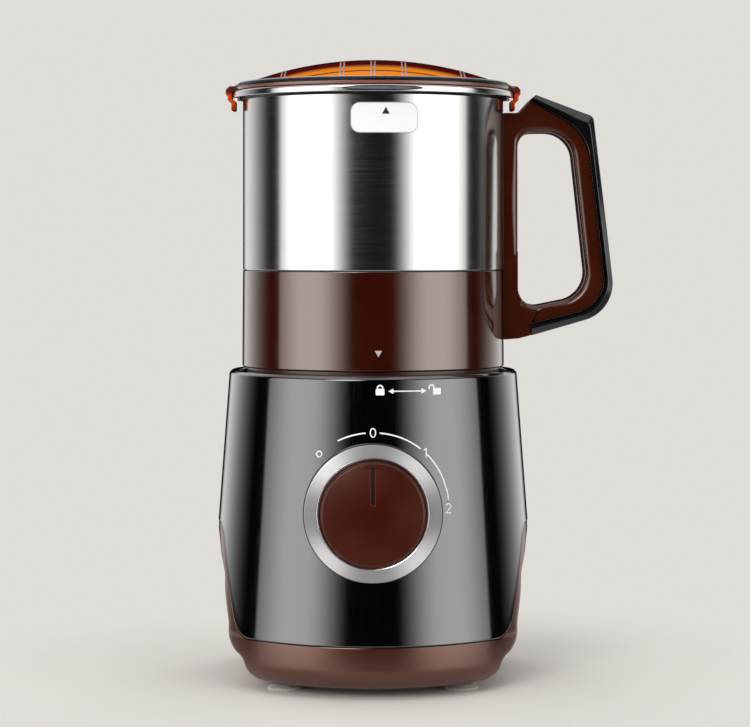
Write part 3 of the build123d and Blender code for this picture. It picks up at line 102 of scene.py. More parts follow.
def evenly(points, count):
    """count points at equal lengths along an open line."""
    run = np.r_[0, np.cumsum(np.linalg.norm(np.diff(points, axis=0), axis=1))]
    at = np.linspace(0, run[-1], count)
    return np.stack([np.interp(at, run, points[:, k]) for k in range(points.shape[1])], axis=1)


def smooth_line(at, places, values):
    """Cubic through (places, values) whose slope at each point is the mean of the slopes beside it."""
    places, values = np.array(places, float), np.array(values, float)
    slope = np.gradient(values, places)
    i = np.clip(np.searchsorted(places, at) - 1, 0, len(places) - 2)
    h = places[i + 1] - places[i]
    t = np.clip((at - places[i]) / h, 0, 1)
    return (
        values[i] * (1 + 2 * t) * (1 - t) ** 2
        + values[i + 1] * t**2 * (3 - 2 * t)
        + h * (slope[i] * t * (1 - t) ** 2 + slope[i + 1] * t**2 * (t - 1))
    )


def soft_step(value, start, stop):
    """0 before start, 1 after stop, and 3 t^2 - 2 t^3 between."""
    t = np.clip((value - start) / (stop - start), 0, 1)
    return t * t * (3 - 2 * t)


def faces_of(rows, cols, ring_rows, ring_cols):
    """Corner numbers of the four-sided faces of a grid of points, closed on itself where asked."""
    i, j = np.meshgrid(
        np.arange(rows if ring_rows else rows - 1), np.arange(cols if ring_cols else cols - 1), indexing="ij"
    )
    i2, j2 = (i + 1) % rows, (j + 1) % cols
    return np.stack([i * cols + j, i2 * cols + j, i2 * cols + j2, i * cols + j2], axis=-1).reshape(-1, 4)


def skin(name, grids, crease=38.0):
    """One object from closed grids of points, each (points, rows closed, columns closed). Each grid's
    faces are turned outwards by the sign of its volume, a sixth of the sum of the triple products of
    its triangles. Points that meet are merged, which closes seams and poles."""
    places, quads, start = [], [], 0
    for points, ring_rows, ring_cols in grids:
        flat = points.reshape(-1, 3)
        quad = faces_of(points.shape[0], points.shape[1], ring_rows, ring_cols)
        a, b, c, d = (flat[quad[:, k]] - flat.mean(axis=0) for k in range(4))
        volume = (np.cross(a, b) * c).sum() + (np.cross(a, c) * d).sum()
        quads.append((quad if volume > 0 else quad[:, ::-1]) + start)
        places.append(flat)
        start += len(flat)
    mesh = bpy.data.meshes.new(name)
    mesh.from_pydata((np.concatenate(places) / 1000).tolist(), [], np.concatenate(quads).tolist())
    shaped = bmesh.new()
    shaped.from_mesh(mesh)
    bmesh.ops.remove_doubles(shaped, verts=shaped.verts, dist=2e-6)
    bmesh.ops.dissolve_degenerate(shaped, edges=shaped.edges, dist=1e-7)
    shaped.to_mesh(mesh)
    shaped.free()
    mesh.polygons.foreach_set("use_smooth", np.ones(len(mesh.polygons), dtype=bool))
    mesh.set_sharp_from_angle(angle=radians(crease))
    piece = bpy.data.objects.new(name, mesh)
    bpy.context.scene.collection.objects.link(piece)
    return piece


def fit(piece, body, material, slot, *nodes):
    """Gives a piece its finish and its body, and hides the CAD nodes that it stands for. The slot argument is
    not used.
    """
    piece.data.materials.append(material)
    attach(piece, body)
    if nodes:
        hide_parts(*nodes)
    return piece


def swept(half, turn):
    """Half sections (radius, height), one for each turn angle or one for all, carried round the axis."""
    r, z = np.broadcast_arrays(half[..., 0], half[..., 1])
    if r.ndim == 1:
        r, z = r[None], z[None]
    turn = turn[:, None]
    return np.stack([r * np.cos(turn), r * np.sin(turn), z + 0 * turn], axis=-1)


def full_turn(count):
    """Evenly spaced angles of a whole turn."""
    return np.linspace(0, 2 * pi, count, endpoint=False)


def turned(corners, count=288, steps=7):
    """Body of revolution about the axis, from the rounded closed outline of its half section."""
    return swept(outline(corners, steps), full_turn(count)), True, True


# ---------------------------------------------------------------- finishes
def finish(
    name, colour, roughness, metallic=0.0, ior=1.5, coat=0.0, coat_roughness=0.05, sheen=0.5, glint=(1, 1, 1)
):
    """A material with its shader's plain numbers set, and a short way to add and join its nodes."""
    material = bpy.data.materials.new(name)
    material.use_nodes = True
    nodes, links = material.node_tree.nodes, material.node_tree.links
    shader = nodes["Principled BSDF"]
    shader.inputs["Base Color"].default_value = (*colour, 1)
    shader.inputs["Roughness"].default_value = roughness
    shader.inputs["Metallic"].default_value = metallic
    shader.inputs["IOR"].default_value = ior
    shader.inputs["Coat Weight"].default_value = coat
    shader.inputs["Coat Roughness"].default_value = coat_roughness
    shader.inputs["Specular IOR Level"].default_value = sheen
    shader.inputs["Specular Tint"].default_value = (*glint, 1)
    return material, nodes, links, shader


def pattern(nodes, links, scale, stretch=(1, 1, 1), detail=3.0):
    """A noise on Object coordinates: scale is its grains per metre, stretch squeezes them along an axis."""
    place = nodes.new("ShaderNodeTexCoord")
    mapping = nodes.new("ShaderNodeMapping")
    mapping.inputs["Scale"].default_value = stretch
    links.new(place.outputs["Object"], mapping.inputs["Vector"])
    grain = nodes.new("ShaderNodeTexNoise")
    grain.inputs["Scale"].default_value = scale
    grain.inputs["Detail"].default_value = detail
    links.new(mapping.outputs["Vector"], grain.inputs["Vector"])
    return grain.outputs["Fac"]


def spread(nodes, links, source, low, high, start=0.3, stop=0.7):
    """Maps a pattern onto the numbers from low to high."""
    span = nodes.new("ShaderNodeMapRange")
    span.inputs["From Min"].default_value = start
    span.inputs["From Max"].default_value = stop
    span.inputs["To Min"].default_value = low
    span.inputs["To Max"].default_value = high
    links.new(source, span.inputs["Value"])
    return span.outputs["Result"]


def tint(nodes, links, shader, source, first, second):
    """Base colour that runs from first to second with a pattern."""
    ramp = nodes.new("ShaderNodeValToRGB")
    ramp.color_ramp.elements[0].position = 0.3
    ramp.color_ramp.elements[1].position = 0.7
    ramp.color_ramp.elements[0].color = (*first, 1)
    ramp.color_ramp.elements[1].color = (*second, 1)
    links.new(source, ramp.inputs["Fac"])
    links.new(ramp.outputs["Color"], shader.inputs["Base Color"])


def relief(nodes, links, shader, source, depth, strength=1.0):
    """Fine relief from a pattern; depth is its height in metres."""
    bump = nodes.new("ShaderNodeBump")
    bump.inputs["Strength"].default_value = strength
    bump.inputs["Distance"].default_value = depth
    links.new(source, bump.inputs["Height"])
    links.new(bump.outputs["Normal"], shader.inputs["Normal"])


def uneven_polish(nodes, links, shader, source, roughness, low, high, *span):
    """Roughness that runs from low to high times its plain number with a pattern."""
    level = spread(nodes, links, source, roughness * low, roughness * high, *span)
    links.new(level, shader.inputs["Roughness"])


def sums(nodes, links):
    """A short way to do sums on node outputs and plain numbers."""

    def math(operation, first, second=0.0, third=0.0):
        node = nodes.new("ShaderNodeMath")
        node.operation = operation
        for socket, value in zip(node.inputs, (first, second, third)):
            if isinstance(value, (int, float)):
                socket.default_value = value
            else:
                links.new(value, socket)
        return node.outputs[0]

    return math


def moulded(name, colour, roughness, grain=2500, depth=6e-6, uneven=0.08, **plain):
    """Moulded plastic: a fine grain, a slightly uneven sheen and a faint drift of its colour."""
    material, nodes, links, shader = finish(name, colour, roughness, **plain)
    fine = pattern(nodes, links, grain, detail=2.0)
    broad = pattern(nodes, links, 55, detail=4.0)
    relief(nodes, links, shader, fine, depth)
    uneven_polish(nodes, links, shader, broad, roughness, 0.85, 1.2)
    low, high = [c * (1 - uneven) for c in colour], [min(1, c * (1 + uneven)) for c in colour]
    tint(nodes, links, shader, broad, low, high)
    return material


def lacquered(name, colour, roughness, ior=1.6, coat=1.0):
    """High gloss moulding: a clear coat with a very faint ripple over fine dust and hairlines."""
    material, nodes, links, shader = finish(name, colour, roughness, ior=ior, coat=coat, coat_roughness=0.03)
    shader.inputs["Coat IOR"].default_value = 1.66
    ripple = pattern(nodes, links, 70, detail=1.0)
    relief(nodes, links, shader, ripple, 1.2e-5, 0.5)
    hairlines = pattern(nodes, links, 900, stretch=(1, 1, 0.08), detail=5.0)
    uneven_polish(nodes, links, shader, hairlines, roughness, 0.8, 1.6)
    tint(nodes, links, shader, hairlines, [c * 0.8 for c in colour], [c * 1.3 for c in colour])
    return material


def brushed(name, colour, roughness, stretch, grain=28, depth=2.5e-6, worn=0.05):
    """Brushed metal: long fine lines, squeezed across by stretch, with a soft drift of its polish."""
    material, nodes, links, shader = finish(name, colour, roughness, metallic=1.0)
    lines = pattern(nodes, links, grain, stretch=stretch, detail=6.0)
    drift = pattern(nodes, links, 30, detail=3.0)
    relief(nodes, links, shader, lines, depth, 0.6)
    uneven_polish(nodes, links, shader, lines, roughness, 0.8, 1.25)
    tint(nodes, links, shader, drift, [c * (1 - worn) for c in colour], colour)
    return material


def ring_turned_painted_highlights(name, colour, roughness, centre, depth=3e-6):
    """Metal turned about the dial's axis: rings whose height is a noise of the distance from its centre,
    and painted highlights: soft lighter and darker sectors in the base colour, which stand for the turned
    face's reflections. Their level at an angle a from the top is a half less half the cosine of 4 a, to the
    power 1.5, so the diagonals are the lightest."""
    material, nodes, links, shader = finish(name, colour, roughness, metallic=0.55)
    place = nodes.new("ShaderNodeTexCoord")
    flat = nodes.new("ShaderNodeMapping")
    flat.inputs["Location"].default_value = centre
    flat.inputs["Scale"].default_value = (1, 0, 1)
    links.new(place.outputs["Object"], flat.inputs["Vector"])
    far = nodes.new("ShaderNodeVectorMath")
    far.operation = "LENGTH"
    links.new(flat.outputs["Vector"], far.inputs[0])
    rings = nodes.new("ShaderNodeTexNoise")
    rings.noise_dimensions = "1D"
    rings.inputs["Scale"].default_value = 5200
    rings.inputs["Detail"].default_value = 3
    links.new(far.outputs["Value"], rings.inputs["W"])
    relief(nodes, links, shader, rings.outputs["Fac"], depth, 0.7)
    uneven_polish(nodes, links, shader, rings.outputs["Fac"], roughness, 0.8, 1.3)
    # painted highlights: base colour lighter on the diagonals, darker at the top, bottom and sides
    math = sums(nodes, links)
    split = nodes.new("ShaderNodeSeparateXYZ")
    links.new(flat.outputs["Vector"], split.inputs[0])
    angle = math("ARCTAN2", split.outputs["X"], split.outputs["Z"])
    level = math("SUBTRACT", 0.5, math("MULTIPLY", math("COSINE", math("MULTIPLY", angle, 4.0)), 0.5))
    level = math("POWER", level, 1.5)
    level = math("ADD", level, math("MULTIPLY", rings.outputs["Fac"], 0.06))
    painted_highlight_sectors = nodes.new("ShaderNodeValToRGB")
    painted_highlight_sectors.color_ramp.elements[0].color = (*[c * 0.36 for c in colour], 1)
    painted_highlight_sectors.color_ramp.elements[1].color = (*colour, 1)
    links.new(level, painted_highlight_sectors.inputs["Fac"])
    links.new(painted_highlight_sectors.outputs["Color"], shader.inputs["Base Color"])
    return material


def stacked(name, colour, dark, pitch, roughness, metallic, axis_stretch=(0, 0, 1)):
    """Stacked sheets or wound wire: bands along one axis, a pitch in metres apart."""
    material, nodes, links, shader = finish(name, colour, roughness, metallic=metallic)
    place = nodes.new("ShaderNodeTexCoord")
    squeeze = nodes.new("ShaderNodeMapping")
    squeeze.inputs["Scale"].default_value = axis_stretch
    links.new(place.outputs["Object"], squeeze.inputs["Vector"])
    bands = nodes.new("ShaderNodeTexWave")
    bands.bands_direction = "DIAGONAL"
    bands.inputs["Scale"].default_value = 0.31 / pitch
    bands.inputs["Distortion"].default_value = 0.4
    bands.inputs["Detail"].default_value = 1.0
    links.new(squeeze.outputs["Vector"], bands.inputs["Vector"])
    relief(nodes, links, shader, bands.outputs["Fac"], pitch * 0.25, 0.8)
    tint(nodes, links, shader, bands.outputs["Fac"], dark, colour)
    uneven_polish(nodes, links, shader, bands.outputs["Fac"], roughness, 1.2, 0.85, 0, 1)
    return material


def clear_plastic(name, colour, painted_slant_colour, roughness, through, turns=(0.25, 0.97), sheen=0.5, coat=0.0):
    """See-through plastic that changes to its edge colour where it is seen on the slant, between the two
    turns (0 is face on, 1 edge on). The edge colour is painted light: a darker one is painted shade for the
    longer way of light through the plastic, a lighter one a painted highlight. sheen scales its mirror
    reflection."""
    material, nodes, links, shader = finish(
        name, colour, roughness, ior=1.45, coat=coat, coat_roughness=0.04, sheen=sheen
    )
    shader.inputs["Transmission Weight"].default_value = through
    slant = nodes.new("ShaderNodeLayerWeight")
    slant.inputs["Blend"].default_value = 0.5
    cloudy = pattern(nodes, links, 120, detail=3.0)
    # painted shade or highlight by slant: the colour runs to the edge colour as the surface turns from view
    painted_slant_tone = nodes.new("ShaderNodeValToRGB")
    painted_slant_tone.color_ramp.elements[0].position = turns[0]
    painted_slant_tone.color_ramp.elements[0].color = (*colour, 1)
    painted_slant_tone.color_ramp.elements[1].position = turns[1]
    painted_slant_tone.color_ramp.elements[1].color = (*painted_slant_colour, 1)
    links.new(slant.outputs["Facing"], painted_slant_tone.inputs["Fac"])
    links.new(painted_slant_tone.outputs["Color"], shader.inputs["Base Color"])
    relief(nodes, links, shader, cloudy, 1.5e-5, 0.3)
    uneven_polish(nodes, links, shader, cloudy, roughness, 0.7, 1.4)
    return material


def banded_amber(name, roughness):
    """Thick see-through plastic whose colour changes with height between the hook's tip and its knuckle:
    dark at the knuckle, vivid in the arm and dark red in the tip."""
    material, nodes, links, shader = finish(name, (0.7, 0.07, 0.006), roughness, ior=1.45, coat=0.3)
    shader.inputs["Transmission Weight"].default_value = 0.2
    place = nodes.new("ShaderNodeTexCoord")
    split = nodes.new("ShaderNodeSeparateXYZ")
    links.new(place.outputs["Object"], split.inputs[0])
    tip, knuckle = 0.2595, 0.2715
    level = spread(nodes, links, split.outputs["Z"], 0.0, 1.0, tip, knuckle)
    bands = nodes.new("ShaderNodeValToRGB")
    stops = ((0.36, (1.0, 0.10, 0.003)), (0.62, (1.0, 0.09, 0.003)), (0.72, (0.15, 0.022, 0.014)))
    for position, colour in stops:
        stop = bands.color_ramp.elements.new(position)
        stop.color = (*colour, 1)
    bands.color_ramp.elements[0].color = (0.22, 0.010, 0.003, 1)
    bands.color_ramp.elements[-1].color = (0.16, 0.03, 0.02, 1)
    links.new(level, bands.inputs["Fac"])
    links.new(bands.outputs["Color"], shader.inputs["Base Color"])
    cloudy = pattern(nodes, links, 160, detail=3.0)
    relief(nodes, links, shader, cloudy, 1e-5, 0.3)
    uneven_polish(nodes, links, shader, cloudy, roughness, 0.7, 1.4)
    return material


# colours and glints that several finishes share, then the finishes
black = (0.0007, 0.0007, 0.0009)
brown = (0.033, 0.0036, 0.0009)
warm = (1.0, 0.84, 0.76)
tawny = (1.0, 0.65, 0.54)
gloss_black = lacquered("gloss_black_lacquer", black, 0.09, ior=1.6)
grip_black = moulded("grip_satin_black", (0.0022, 0.0022, 0.0036), 0.2, grain=3000, depth=2e-6, ior=1.6)
brown_gloss = moulded(
    "brown_gloss_moulding", brown, 0.13, grain=1800, depth=2e-6, ior=1.9, coat=0.75, coat_roughness=0.08,
    glint=warm,
)
skirt_brown = moulded(
    "skirt_brown_moulding", (0.027, 0.0024, 0.0006), 0.2, grain=2000, depth=3e-6, ior=1.9, glint=tawny
)
handle_brown = moulded(
    "handle_brown_moulding", (0.046, 0.0062, 0.0012), 0.2, grain=2000, depth=2e-6, ior=1.6, coat=0.3,
    coat_roughness=0.1, glint=warm,
)
brown_satin = moulded(
    "brown_satin_moulding", brown, 0.30, grain=2600, depth=5e-6, coat=0.25, coat_roughness=0.2
)
knob_brown = moulded("knob_brown_satin", (0.040, 0.0034, 0.0007), 0.30, grain=3600, depth=4e-6, glint=tawny)
# near-black brown: painted shade on the pointer groove's floor
pointer_groove_shade = moulded("pointer_groove_painted_shade", (0.007, 0.0012, 0.0006), 0.4, grain=3600, depth=4e-6, sheen=0.2)
black_plastic = moulded("black_moulding", (0.012, 0.012, 0.013), 0.42)
dark_nylon = moulded("dark_nylon", (0.03, 0.028, 0.027), 0.5, grain=1500)
white_nylon = moulded("white_nylon", (0.72, 0.7, 0.65), 0.4, grain=1500)
silicone = moulded("pale_silicone", (0.55, 0.53, 0.5), 0.5, grain=1400, depth=1e-5)
seal_silicone = moulded("seal_silicone", (0.62, 0.6, 0.56), 0.45, grain=1400, depth=1e-5)
rubber = moulded("black_rubber", (0.018, 0.018, 0.018), 0.65, grain=1300, depth=1.5e-5)
component_case = moulded("component_case", (0.16, 0.15, 0.13), 0.45, uneven=0.5)
carbon = moulded("carbon_brush", (0.02, 0.02, 0.021), 0.55, grain=3800, depth=2e-5, metallic=0.3)
board_green = moulded("board_green", (0.012, 0.105, 0.045), 0.35, grain=700, depth=1e-5, uneven=0.3, coat=0.5)
cup_steel = brushed("cup_brushed_steel", (0.57, 0.57, 0.566), 0.15, (1, 1, 130))
# near-black steel for the ring under the rim: a painted shadow
rim_shadow_steel = brushed("dull_steel_painted_shadow", (0.02, 0.02, 0.02), 0.4, (1, 1, 60))
bright_steel = brushed("bright_steel", (0.66, 0.66, 0.65), 0.22, (1, 1, 60))
blade_steel = brushed("ground_blade_steel", (0.70, 0.70, 0.70), 0.2, (90, 90, 4), depth=4e-6)
zinc_steel = brushed("zinc_plated_steel", (0.58, 0.58, 0.55), 0.32, (20, 20, 20), worn=0.15)
cast_alloy = brushed("cast_alloy", (0.52, 0.52, 0.53), 0.45, (30, 30, 30), depth=2e-5, worn=0.2)
bronze = brushed("bearing_bronze", (0.5, 0.3, 0.14), 0.35, (1, 1, 60), worn=0.2)
brass = brushed("sheet_brass", (0.62, 0.45, 0.18), 0.3, (40, 1, 1), worn=0.15)
commutator_copper = brushed("commutator_copper", (0.72, 0.36, 0.2), 0.28, (1, 1, 90), worn=0.25)
copper_wire = stacked(
    "lacquered_copper_wire", (0.62, 0.22, 0.09), (0.2, 0.05, 0.02), 0.0008, 0.3, 0.9, (1, 1, 1)
)
lamination = stacked("lamination_steel", (0.33, 0.33, 0.34), (0.1, 0.1, 0.1), 0.0007, 0.42, 1.0)
# turned silver with painted highlight sectors
bezel_silver = ring_turned_painted_highlights(
    "bezel_turned_silver", (0.86, 0.86, 0.87), 0.4, (0, 0, -knob_height / 1000), depth=6e-7
)
bezel_line = brushed("bezel_polished_line", (0.85, 0.86, 0.88), 0.18, (30, 30, 30))
# near-black: painted shade in the step round the bezel
bezel_step_shade = moulded("bezel_step_painted_shade", (0.03, 0.031, 0.033), 0.35, grain=3000, depth=2e-6)
# dark red edge colour: painted shade on the dome's slanted rim
lid_amber = clear_plastic(
    "lid_amber", (1.0, 0.30, 0.015), (0.12, 0.003, 0.001), 0.14, 0.12, (0.80, 0.845), 0.1
)
# near-black: painted shade of the dark line at the flange's top edge
lid_bead_painted_shade = moulded("lid_bead_painted_shade", (0.0035, 0.0015, 0.0015), 0.3, grain=2000, depth=1e-6, sheen=0.15)
# pale blue-grey: painted highlight along the flange's top edge
lid_lip_painted_highlight = clear_plastic(
    "lid_lip_painted_highlight", (0.36, 0.44, 0.55), (0.25, 0.32, 0.40), 0.2, 0.3, (0.3, 0.95), 0.4
)
lid_chord_dark = moulded("lid_inner_chord", (0.10, 0.010, 0.001), 0.3, grain=2000, depth=1e-6, sheen=0.1)
lid_smoke = clear_plastic(
    "lid_smoked_brown", (0.30, 0.13, 0.10), (0.10, 0.035, 0.03), 0.12, 0.25, (0.3, 0.95), 0.5, 0.3
)
hook_amber = banded_amber("hook_amber", 0.16)
# pale amber: painted highlight lines along the ribs' edges
rib_highlight_amber = clear_plastic(
    "rib_painted_highlight_amber", (1.0, 0.66, 0.52), (0.80, 0.50, 0.48), 0.18, 0.2, (0.3, 0.97), 0.6, 0.4
)
# lighter edge colour: painted highlight round the feet's rims
clear_silicone = clear_plastic(
    "clear_silicone", (0.55, 0.54, 0.52), (0.86, 0.85, 0.82), 0.2, 0.25, (0.3, 0.9), 0.6, 0.4
)
mark_white = moulded("printed_white", (0.94, 0.94, 0.93), 0.45, grain=5000, depth=1e-6, uneven=0.02)
mark_black = moulded("printed_black", (0.012, 0.012, 0.012), 0.4, grain=5000, depth=1e-6)
mark_grey = moulded("printed_grey", (0.46, 0.43, 0.44), 0.45, grain=5000, depth=1e-6, uneven=0.04)
label_white = moulded("label_satin_white", (0.96, 0.96, 0.955), 0.35, grain=4000, depth=1e-6, uneven=0.02)
etched_grey = moulded(
    "etched_grey", (0.03, 0.034, 0.034), 0.5, grain=1500, depth=8e-5, uneven=0.6, sheen=0.1
)
etched_line = moulded(
    "etched_line_grey", (0.11, 0.13, 0.13), 0.5, grain=1500, depth=5e-5, uneven=0.6, sheen=0.1
)

for material, names in {
    black_plastic: ["bottom_plate", "switch_body", "microswitch"],
    dark_nylon: ["cup_socket", "cup_seat_ring", "cooling_fan", "driven_coupling", "drive_coupling"],
    white_nylon: ["interlock_pin"],
    clear_silicone: ["suction_feet"],
    silicone: ["floor_gasket"],
    seal_silicone: ["lid_seal"],
    rubber: ["cord_gland", "motor_dampers"],
    component_case: ["board_components"],
    carbon: ["carbon_brushes"],
    board_green: ["circuit_board"],
    cup_steel: ["grinding_cup", "blade_nut", "bearing_nut", "blade_spacer"],
    bright_steel: ["motor_shaft", "motor_bearings", "blade_shaft", "interlock_spring"],
    blade_steel: ["lower_blade", "upper_blade"],
    zinc_steel: ["bottom_screws", "switch_nut", "collar_screws", "handle_screws", "selector_shaft"],
    cast_alloy: ["upper_motor_bracket", "lower_motor_bracket", "bearing_housing"],
    bronze: ["blade_bearings"],
    brass: ["brush_holders"],
    commutator_copper: ["commutator"],
    copper_wire: ["field_windings", "armature_windings"],
    lamination: ["stator_core", "armature_core"],
    gloss_black: ["host_housing"],
    grip_black: ["handle_grip"],
    brown_gloss: ["cup_collar"],
    skirt_brown: ["base_skirt"],
    handle_brown: ["cup_handle"],
    brown_satin: ["collar_base_plate"],
    knob_brown: ["switch_knob"],
    bezel_silver: ["dial_bezel"],
    lid_amber: ["sealing_lid"],
}.items():
    for node in names:
        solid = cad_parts[node]
        solid.data.materials.clear()
        solid.data.materials.append(material)


# ---------------------------------------------------------------- base
def housing_radius(height):
    """Outer radius of the tapered housing: its top radius plus the taper times the drop below its top."""
    return housing_top_radius + (housing_top - height) * housing_taper


def arch_height(across, inset):
    """Height of the side opening's edge at a distance across from the middle of the side: the rounded
    outline of a flat top, a slope and a level foot, read off by that distance."""
    half = outline(
        [
            (0, wing_top - inset, 0),
            (arch_top_half - 1.2 * inset, wing_top - inset, arch_top_rounding),
            (arch_foot_half - 1.2 * inset, skirt_top - inset, arch_foot_rounding),
            (90, skirt_top - inset, 0),
            (90, 0, 0),
            (0, 0, 0),
        ],
        steps=15,
    )[: 4 * 17]
    return np.interp(np.abs(across), half[:, 0], half[:, 1])


def edge_heights(turn, inset, floor):
    """Height of the side opening's edge at each turn angle: the outline is read at the housing's radius
    times the sine of the angle, and that radius again at the height found, four times over."""
    height = np.full_like(turn, floor)
    for _ in range(4):
        height = np.maximum(floor, arch_height(housing_radius(height) * np.sin(turn), inset))
    return height


def housing_skin():
    """Tapered shell carried round the axis. Its half section runs up the outside from the arch's edge,
    over the turned-in lip and down the inside, and its foot follows the arch round the housing."""
    turn = full_turn(720)
    low = edge_heights(turn, 0.0, housing_bottom)[:, None]
    lip = outline(
        [
            (housing_radius(136), 136, 0),
            (housing_radius(139.2), 139.2, 1.6),
            (housing_top_radius - 1.3, housing_top, 0.9),
            (mouth_radius, housing_top, 0.6),
            (mouth_radius, socket_top, 0.2),
            (housing_radius(socket_top) - housing_wall, socket_top, 0.2),
            (housing_radius(136) - housing_wall, 136, 0),
        ]
    )[8:-8]
    edge = 0.5
    s = np.linspace(0, pi / 2, 5)[None]
    foot_out_z = low + edge * (1 - np.cos(s))
    foot_out_r = housing_radius(low) - edge * (1 - np.sin(s))
    rise = np.linspace(0, 1, 22)[None]
    wall_z = low + edge + 0.4 + (135.5 - low - edge - 0.4) * rise
    wall_r = housing_radius(wall_z)
    lip_r, lip_z = np.broadcast_to(lip[:, 0], (720, len(lip))), np.broadcast_to(lip[:, 1], (720, len(lip)))
    back_z, back_r = wall_z[:, ::-1], wall_r[:, ::-1] - housing_wall
    foot_in_z, foot_in_r = low + 0.0, housing_radius(low) - housing_wall
    r = np.concatenate([foot_out_r, wall_r, lip_r, back_r, foot_in_r], axis=1)
    z = np.concatenate([foot_out_z, wall_z, lip_z, back_z, foot_in_z], axis=1)
    return swept(np.stack([r, z], axis=-1), turn), True, True


def side_reach(height):
    """How far the base's bowed sides stand from the middle at a height, as a cubic through given points."""
    return smooth_line(
        height,
        [4, 7, 10, 13, 15, 16.5, 18.9, 29.3, 42.1, 50, 56.9, 66.7, 73.2],
        [49.0, 54.0, 56.5, 57.7, 59.2, 61.4, 63.4, 65.1, 66.9, 67.3, 69.1, 71.5, 76.0],
    )


skirt_line = outline(
    [
        (0, skirt_bottom, 0), (skirt_radius - 0.1, skirt_bottom, skirt_rounding),
        (skirt_radius, skirt_top, 0), (0, skirt_top, 0),
    ],
    steps=25,
)


def skirt_reach(height):
    """Radius of the round skirt, read off its outline: an upright wall with one wide rounding to its foot.
    Above the skirt the wings lie just inside the housing's cone."""
    rising = skirt_line[skirt_line[:, 0] > skirt_radius - skirt_rounding - 1]
    rising = rising[np.argsort(rising[:, 1], kind="stable")]
    lower = np.interp(height, rising[:, 1], rising[:, 0])
    blend = soft_step(height, skirt_top, skirt_top + 2.5)
    return lower * (1 - blend) + (housing_radius(height) - seam_gap) * blend


def skirt_radius_at(height, turn):
    """The smaller of the round skirt's radius and the bowed side's reach over the cosine of the angle,
    joined by the soft least of the two: minus the log of the sum of exp(-k r), over k."""
    side = side_reach(height) / np.maximum(np.abs(np.cos(turn)), 1e-3)
    round_ = skirt_reach(height)
    k = 2.4
    least = np.minimum(side, round_)
    return least - np.log(np.exp(-k * (side - least)) + np.exp(-k * (round_ - least))) / k


def skirt_skin():
    """Skirt with its two wings, carried round the axis: under the foot, up the outside to the arch's edge,
    and down the inside a wall's thickness in, with every second row of the outside."""
    turn = full_turn(720)[:, None]
    wall, floor = 3.0, 8.0
    top = np.maximum(skirt_top, edge_heights(turn[:, 0], seam_gap, skirt_top))[:, None]
    foot_z = skirt_bottom + 12.0 * np.linspace(0, 1, 30)[None] ** 2
    rise = np.linspace(0, 1, 40)[None]
    start = foot_z[:, -1:] + 0.6
    wall_z = start + (top - 0.5 - start) * rise
    z = np.concatenate([np.broadcast_to(foot_z, (720, 30)), wall_z], axis=1)
    r = skirt_radius_at(z, turn)
    edge_r = skirt_radius_at(top, turn)
    inner_r, inner_z = r[:, :6:-2] - wall, np.maximum(z[:, :6:-2], floor)
    edge = np.concatenate([edge_r - 0.15, edge_r - 0.5, edge_r - wall + 0.1], axis=1)
    edge_z = np.concatenate([top - 0.15, top, top], axis=1)
    ones = np.ones((720, 1))
    r = np.concatenate([50.0 * ones, r, edge, inner_r, 50.0 * ones], axis=1)
    z = np.concatenate([skirt_bottom * ones, z, edge_z, inner_z, floor * ones], axis=1)
    return swept(np.stack([r, z], axis=-1), turn[:, 0]), True, True


def foot_skins():
    """Four suction feet, each a soft cup turned about its own upright axis."""
    half = outline(
        [
            (0, 6.4, 0), (2.5, 6.4, 0.3), (2.5, 3.2, 0.5), (5.6, 2.3, 0.8), (7.0, 1.3, 0.6),
            (7.7, 0.9, 0.3), (7.65, 0.0, 0.3), (6.9, 0.0, 0.3), (5.6, 0.9, 0.8), (0, 1.7, 0),
        ]
    )
    cup = swept(half, full_turn(72))
    places = [(x, y) for x in (-39.5, 39.5) for y in (-41.0, 41.0)]
    return [(cup + np.array([x, y, 0.0]), True, True) for x, y in places]


fit(skin("housing_shell", [housing_skin()]), "host", gloss_black, "gloss_black", "host_housing")
fit(skin("skirt_with_wings", [skirt_skin()]), "host", skirt_brown, "brown_plastic", "base_skirt")
fit(skin("soft_feet", foot_skins()), "host", clear_silicone, "pale_silicone", "suction_feet")


# ---------------------------------------------------------------- dial
def facing(right, up, out):
    """Points measured from the dial's centre to the right, up and out of its face, in the part's frame."""
    right, up, out = np.broadcast_arrays(right, up, out)
    return np.stack([right, -out, knob_height + up], axis=-1)


def ring_about_dial(corners):
    """Ring about the dial's axis. Its back follows the housing: at each angle it stops at the distance
    whose square is the housing's radius squared less the sideways reach squared."""
    turn = full_turn(288)[:, None]
    half = outline(corners)
    r, out = half[None, :, 0] + 0 * turn, half[None, :, 1] + 0 * turn
    reach = np.sqrt(housing_radius(knob_height + r * np.sin(turn)) ** 2 - (r * np.cos(turn)) ** 2) - 0.4
    out = np.where(out < 67, reach, out)
    return facing(r * np.cos(turn), r * np.sin(turn), out), True, True


bezel_face = [
    (bezel_outer - 0.5, 66.0, 0), (bezel_outer - 0.5, bezel_front - 0.6, 0.3),
    (bezel_inner + 0.8, bezel_front, 0.2), (bezel_inner + 0.8, 66.0, 0),
]
bezel_inside = [
    (bezel_inner + 0.85, 66.0, 0), (bezel_inner + 0.85, bezel_front + 0.02, 0.2),
    (bezel_inner - 0.25, bezel_front - 0.35, 0.2), (bezel_inner - 0.25, 66.0, 0),
]
# Recessed step round the bezel's outside, dark with painted shade.
bezel_outside = [
    (bezel_outer, 66.0, 0), (bezel_outer, bezel_front - 1.5, 0.3),
    (bezel_outer - 0.55, bezel_front - 0.9, 0.2), (bezel_outer - 0.55, 66.0, 0),
]


